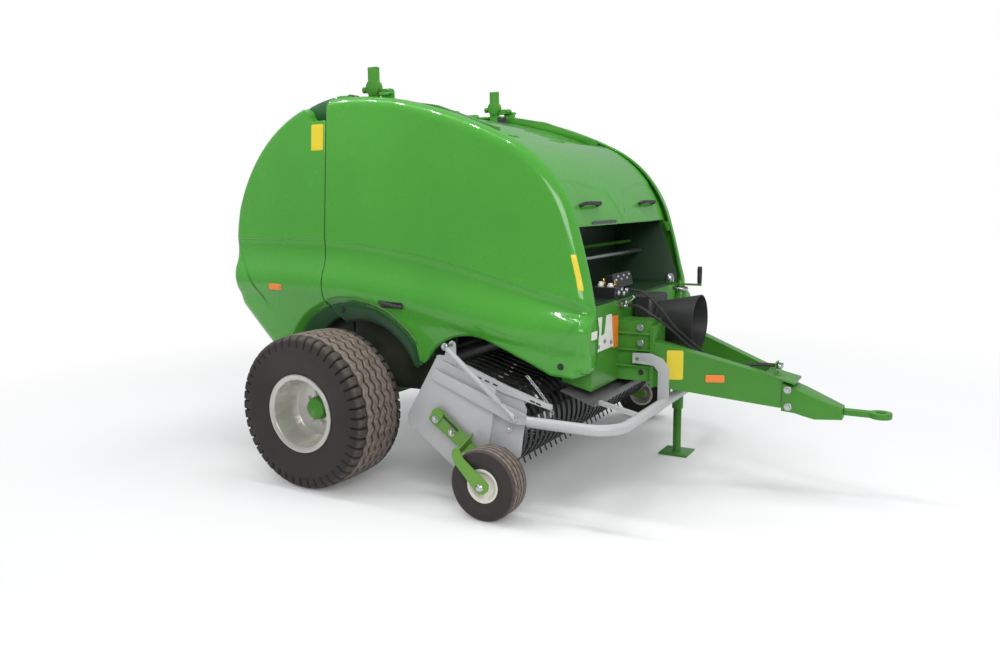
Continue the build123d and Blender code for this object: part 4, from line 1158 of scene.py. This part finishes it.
# %% Wheel fittings and the slim gauge brackets
nut_count, nut_circle, gauge_x = 8, 0.084, 1.130
for side_name, side in (("left", 1), ("right", -1)):
    turn_at = np.linspace(0, 2 * math.pi, nut_count, endpoint=False) + 0.2
    spots = np.stack([nut_circle * np.cos(turn_at), np.full(nut_count, side * 1.096),
                      main_radius + nut_circle * np.sin(turn_at)],
                     -1)
    bolt_heads(f"wheel_nuts_{side_name}", spots, (0, side, 0), 0.011, "rim_paint", f"wheel_{side_name}")
    turned(f"hub_rings_{side_name}", (0, side * 1.094, main_radius), (0, side, 0),
           [(0, 0), (0, 0.066), (0.006, 0.066), (0.007, 0.059), (0.013, 0.059), (0.014, 0.064), (0.020, 0.064),
            (0.021, 0.057),
            (0.027, 0.057), (0.028, 0.061), (0.033, 0.060), (0.036, 0.052), (0.0365, 0.030), (0.040, 0.026),
            (0.041, 0)],
           "green_paint", f"wheel_{side_name}", 48)
    turned(f"wheel_valve_{side_name}", (0.150, side * 1.098, 0.520), (0.1, side, 0.1),
           [(0, 0), (0, 0.006), (0.020, 0.005),
           (0.022, 0.0065), (0.034, 0.0065), (0.036, 0)], "dark_plastic", f"wheel_{side_name}", 12)
    inner = [(0.735, 0.428), (0.945, 0.286), (1.106, 0.156), (1.134, 0.150), (1.162, 0.166), (1.170, 0.192),
             (1.160, 0.214),
             (0.988, 0.352), (0.806, 0.492), (0.790, 0.508), (0.768, 0.512), (0.748, 0.502), (0.732, 0.474),
             (0.729, 0.446)]
    outer = [(0.985, 0.292), (1.098, 0.172), (1.122, 0.152), (1.150, 0.152), (1.174, 0.172), (1.180, 0.204),
             (1.165, 0.222),
             (1.040, 0.318), (1.014, 0.362), (0.996, 0.374), (0.976, 0.362), (0.970, 0.330)]
    mirror = -side
    arm = side_plate(f"gauge_arm_inner_{side_name}", inner, side, 1.039, 0.011, "lime_paint", "pickup")
    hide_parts(f"gauge_bracket_{side_name}")
    side_plate(f"gauge_arm_outer_{side_name}", outer, side, 1.216, 0.011, "lime_paint", "pickup")
    slab(f"gauge_link_{side_name}", [(0, -0.030), (0.180, -0.026), (0.180, 0.026), (0, 0.030)],
         (0.984, side * 1.046, 0.374),
         unit((0.02, side * 0.172, -0.034)), (0.30, 0, 0.95), 0.008, "lime_paint", "pickup", 0.002)
    slab(f"gauge_clamp_{side_name}", box_outline(0.062, 0.086, 0.010), (0.770, side * 1.050, 0.466),
         unit((0.80 * mirror, 0, -0.60 * mirror)),
         unit((0.60, 0, 0.80)), 0.010, "lime_paint", "pickup", 0.003)
    # the clamp's slot is a thin black plate: painted shade for the hole
    slab(f"gauge_slot_shade_{side_name}", box_outline(0.150, 0.014, 0.004), (0.842, side * 1.0505, 0.448),
         unit((0.79 * mirror, 0, -0.61 * mirror)), unit((0.61, 0, 0.79)), 0.003, "black_steel", "pickup", 0.001)
    bolt_heads(f"gauge_bolts_{side_name}", [(0.766, side * 1.061, 0.452), (0.860, side * 1.051, 0.388)],
               (0, side, 0), 0.013,
               "bright_steel", "pickup")
    turned(f"gauge_axle_{side_name}", (gauge_x, side * 1.226, small_radius), (0, side, 0),
           [(0, 0), (0, 0.022), (0.003, 0.022),
           (0.003, 0.017), (0.012, 0.017), (0.014, 0.012), (0.014, 0)], "bright_steel", "pickup", 6)
    # slots and bolts along the shield's top rail, which runs from (0.747, 0.783) to (1.413, 0.584). Each slot is a
    # thin black plate: painted shade for the hole.
    rail, down = unit((0.666, 0, -0.199)), unit((0.199, 0, 0.666))
    for k, share in enumerate((0.16, 0.40, 0.47, 0.54, 0.86, 0.91)):
        place = np.array((0.747, side * 1.0082, 0.783)) + share * 0.695 * rail
        slab(f"rail_slot_shade_{side_name}_{k}", box_outline(0.030, 0.009, 0.004), place - 0.016 * down,
             rail * (mirror, 1, mirror),
             down, 0.0008, "black_steel", "pickup", 0.0003)
    bolt_heads(f"shield_bolts_{side_name}", [(0.785, side * 1.018, 0.668), (1.166, side * 1.018, 0.330),
               (1.190, side * 1.018, 0.440)], (0, side, 0), 0.009, "bright_steel", "pickup")
print("wheel fittings and gauge brackets placed")

# %% [markdown]
# ## Inside the wheels and behind the frame
# Black drums behind the wheel discs stand in for the shade seen through the hand holes: painted shade. On the pan
# stand the valve block's brass and steel ends, and in the compartment the net brake's block with its bright keys.

# %% Drums, hose ends and the net brake
finishes["brass"] = finish("brass", (0.55, 0.36, 0.12), drift=0.1, rough=0.32, metallic=1.0)
for side_name, side in (("left", 1), ("right", -1)):
    # a black drum behind the disc: painted shade seen through the hand holes
    turned(f"hole_shade_drum_{side_name}", (0, side * 1.005, main_radius), (0, side, 0),
           [(0, 0.060), (0, 0.160), (0.004, 0.166), (0.020, 0.166), (0.024, 0.160), (0.045, 0.160), (0.050, 0.150),
            (0.050, 0.060), (0, 0.060)],
           "black_steel", f"wheel_{side_name}", 48)
    turned(f"gauge_hub_{side_name}", (gauge_x, side * 1.196, small_radius), (0, side, 0),
           [(0, 0.023), (0, 0.034), (0.004, 0.036), (0.012, 0.030), (0.014, 0.023), (0, 0.023)], "cream_paint",
           f"gauge_wheel_{side_name}", 36)
for k, (place, aim) in enumerate((((1.498, -0.300, 1.092), (1, 0, 0)), ((1.498, -0.300, 1.010), (1, 0, 0)),
                                  ((1.498, -0.345, 1.080), (1, 0, 0)))):
    turned(f"hose_end_{k}", place, aim, [(0, 0), (0, 0.0150), (0.014, 0.0150), (0.014, 0.0118), (0.020, 0.0118),
                                         (0.021, 0.0132),
           (0.044, 0.0128), (0.046, 0.0105), (0.046, 0)], "bright_steel", "chassis", 24)
for k, (x, y, z, high, wide) in enumerate(((1.400, -0.350, 1.109, 0.030, 0.016), (1.400, -0.310, 1.109, 0.046, 0.013),
                                           (1.455, -0.345, 1.109, 0.022, 0.018),
                                           (1.462, -0.300, 1.109, 0.034, 0.012))):
    turned(f"valve_cap_{k}", (x, y, z), (0, 0, 1), [(0, 0), (0, wide), (high * 0.5, wide), (high * 0.55, wide * 0.7),
           (high * 0.9, wide * 0.7), (high, wide * 0.5), (high, 0)], "bright_steel", "chassis", 12,
           finish_name="brass" if k % 2 else "white_sheet")
slab("net_brake_block", box_outline(0.30, 0.090, 0.012), (1.300, 0.120, 1.094), (0, 1, 0), (-0.25, 0, 0.968), 0.050,
     "black_steel", "chassis", 0.004)
bolt_heads("net_brake_keys", [(1.347 - 0.0046 * (k % 2), 0.010 + 0.044 * k,
                               1.112 + 0.018 * (k % 2)) for k in range(6)],
           (0.968, 0, 0.25), 0.007, "bright_steel")
slab("net_guide", [(-0.694, -0.010), (0.694, -0.010), (0.694, 0.010), (-0.694, 0.010)], (1.180, 0.0, 1.310),
     (0, 1, 0),
     unit((0.66, 0, -0.75)), 0.004, "green_paint", "chassis", 0.001)
bar = np.stack([np.full(6, 1.240), np.linspace(-0.690, 0.690, 6), np.full(6, 1.250)], -1)
settle(tube("net_roller_bar", bar, 0.016, across=(0, 0, 1), sides=20), "bright_steel", "chassis")
print("drums, hose ends and net brake placed")

# %% [markdown]
# ## Forms that the steel pieces don't have
# These are made here only: the gas struts of the pickup with their plates, pins and the shields' top rails, two
# hoses with their block and holder, the rear lamps, and the star knobs and arms on the roof.


# %% Struts, top rails, hoses, rear lamps and star knobs
def rounded_line(corners, share=0.45, steps=12):
    """Straight runs joined by arcs. An arc starts share of the shorter run away from its corner, and its radius
    is that length over tan(turn / 2)."""
    corners = np.asarray(corners, float)
    parts = [corners[:1]]
    for before, corner, after in zip(corners, corners[1:], corners[2:]):
        back, ahead = before - corner, after - corner
        reach = share * min(np.linalg.norm(back), np.linalg.norm(ahead))
        back, ahead = unit(back), unit(ahead)
        turn = math.pi - math.acos(back @ ahead)
        radius = reach / math.tan(turn / 2)
        middle = corner + unit(back + ahead) * radius / math.cos(turn / 2)
        swing = np.linspace(0, turn, steps)[:, None]
        parts.append(middle + (corner + back * reach - middle) * np.cos(swing) - back * radius * np.sin(swing))
    return np.vstack(parts + [corners[-1:]])


pickup_paint = slot_of["pickup_frame"]
strut_top, strut_foot, strut_y = (0.850, 0.849), (1.256, 0.516), 1.080
top_rail = [(0.747, 0.783), (0.794, 0.781), (0.935, 0.738), (1.164, 0.655), (1.413, 0.584), (1.413, 0.562),
            (1.152, 0.620),
            (0.925, 0.705), (0.790, 0.752), (0.747, 0.756)]
eye_plate = [(0.790, 0.765), (0.829, 0.853), (0.835, 0.864), (0.850, 0.870), (0.865, 0.864), (0.871, 0.852),
             (0.873, 0.740)]
turn_at = np.linspace(0, 2 * math.pi, 60, endpoint=False)
lobes = (0.049 + 0.009 * np.cos(6 * turn_at))[:, None] * np.stack([np.cos(turn_at), np.sin(turn_at)], -1)
post_arm = [(0.170, 2.214), (0.262, 2.208), (0.262, 2.178), (0.170, 2.172)]
for side_name, side in (("left", 1), ("right", -1)):
    side_plate(f"top_rail_{side_name}", top_rail, side, 0.978, 0.030, pickup_paint, "pickup")
    side_plate(f"strut_plate_{side_name}", eye_plate, side, 1.006, 0.008, pickup_paint, "pickup")
    foot = np.array([strut_top[0], side * strut_y, strut_top[1]])
    run = np.array([strut_foot[0] - strut_top[0], 0, strut_foot[1] - strut_top[1]])
    reach = np.linalg.norm(run)
    turned(f"strut_{side_name}", foot, run,
           [(0.012, 0), (0.012, 0.010), (0.018, 0.014), (reach - 0.120, 0.014), (reach - 0.116, 0.007),
            (reach - 0.032, 0.007),
            (reach - 0.029, 0.011), (reach + 0.010, 0.011), (reach + 0.014, 0.008), (reach + 0.014, 0)],
           "bright_steel",
           "pickup", 24, "grey_paint")
    turned(f"strut_eye_{side_name}", foot * (1, 0, 1) + (0, side * 1.071, 0), (0, side, 0),
           [(0, 0.0085), (0, 0.019), (0.018, 0.019), (0.018, 0.0085), (0, 0.0085)], "bright_steel", "pickup", 32)
    for part, (x, z), inner, outer in (("pin", strut_top, 1.008, 1.098), ("foot_pin", strut_foot, 1.062, 1.104)):
        turned(f"strut_{part}_{side_name}", (x, side * inner, z), (0, side, 0),
               [(0, 0), (0, 0.008), (outer - inner - 0.002, 0.008), (outer - inner, 0.006), (outer - inner, 0)],
               "bright_steel", "pickup", 20)
    bolt_heads(f"strut_nut_{side_name}", [(strut_top[0], side * 1.089, strut_top[1])], (0, side, 0), 0.010,
               "bright_steel",
               "pickup")
    slab(f"lamp_house_{side_name}", box_outline(0.240, 0.100, 0.016), (-0.845, side * 0.500, 1.0), (0, -1, 0),
         (0, 0, 1),
         0.026, "dark_plastic", "tailgate", 0.003)
    for k, y in enumerate((0.440, 0.560)):
        slab(f"lamp_arm_{side_name}_{k}", box_outline(0.092, 0.030, 0.003), (-0.801, side * y, 0.995), (1, 0, 0),
             (0, 1, 0),
             0.008, "black_steel", "tailgate")
    side_plate(f"knob_plate_{side_name}", [(0.228, 2.150), (0.292, 2.140), (0.286, 2.082), (0.234, 2.082)], side,
               0.629,
               0.008, slot_of["tension_rail_left"], "chassis")
    turned(f"knob_neck_{side_name}", (0.257, side * 0.631, 2.102), (0, -side, 0),
           [(0, 0), (0, 0.010), (0.020, 0.010), (0.020, 0)],
           "dark_plastic", "chassis", 24)
    slab(f"star_knob_{side_name}", lobes * (side, 1), (0.257, side * 0.615, 2.102), (side, 0, 0), (0, 0, 1), 0.016,
         "dark_plastic", "chassis", 0.004)
    side_plate(f"post_arm_{side_name}", post_arm, side, 0.678, 0.016, slot_of["roof_post_left"], "chassis")
    turned(f"post_pin_{side_name}", (0.266, side * 0.673, 2.193), (0, side, 0),
           [(0, 0), (0, 0.017), (0.026, 0.017), (0.026, 0)],
           slot_of["roof_post_left"], "chassis", 24)
    turned(f"post_peg_{side_name}", (0.140, side * 0.686, 2.212), (-1, 0, 0),
           [(0, 0), (0, 0.009), (0.044, 0.009), (0.044, 0.017), (0.062, 0.017), (0.064, 0.015), (0.064, 0)],
           slot_of["roof_post_left"], "chassis", 24)

hoses = (
    ((1.534, -0.300, 1.092), (1.628, -0.300, 1.092), (1.716, -0.270, 1.000), (1.778, -0.240, 0.905),
     (1.850, -0.144, 0.806),
     (1.952, -0.100, 0.708), (2.090, -0.048, 0.674), (2.200, -0.014, 0.690), (2.310, -0.014, 0.690)),
    ((1.526, -0.300, 1.010), (1.604, -0.300, 1.010), (1.684, -0.285, 0.955), (1.756, -0.246, 0.896),
     (1.834, -0.172, 0.796),
     (1.938, -0.138, 0.698), (2.080, -0.084, 0.674), (2.200, -0.046, 0.690), (2.310, -0.046, 0.690)),
)
hose_radius = 0.008
for k, corners in enumerate(hoses):
    line = rounded_line(corners)
    print("hose", k, "length in mm:", round(1000 * np.linalg.norm(np.diff(line, axis=0), axis=1).sum()))
    settle_plain(tube(f"hose_{k}", even_steps(line, 110), hose_radius, across=(0.3, 0.95, 0.1), sides=12),
                 "hose_rubber",
                 "chassis")
    turned(f"hose_plug_{k}", (2.284, corners[-1][1], 0.690), (1, 0, 0),
           [(0, 0), (0, 0.0125), (0.012, 0.0125), (0.012, 0.014), (0.036, 0.014), (0.038, 0.011), (0.038, 0)],
           "bright_steel",
           "chassis", 24)
slab("valve_block", box_outline(0.140, 0.110, 0.003), (1.430, -0.330, 1.051), (1, 0, 0), (0, 1, 0), 0.060,
     "black_steel",
     "chassis", 0.003)
slab("hose_holder", [(-0.070, 0.614), (0.010, 0.614), (0.010, 0.704), (0.002, 0.714), (-0.062, 0.714),
                     (-0.070, 0.704)],
     (2.290, 0, 0), (0, 1, 0), (0, 0, 1), 0.006, slot_of["drawbar"], "chassis")
print("struts, hoses, lamps and knobs placed")

# %% Sizes of the whole scene, and the end
low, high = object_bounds()
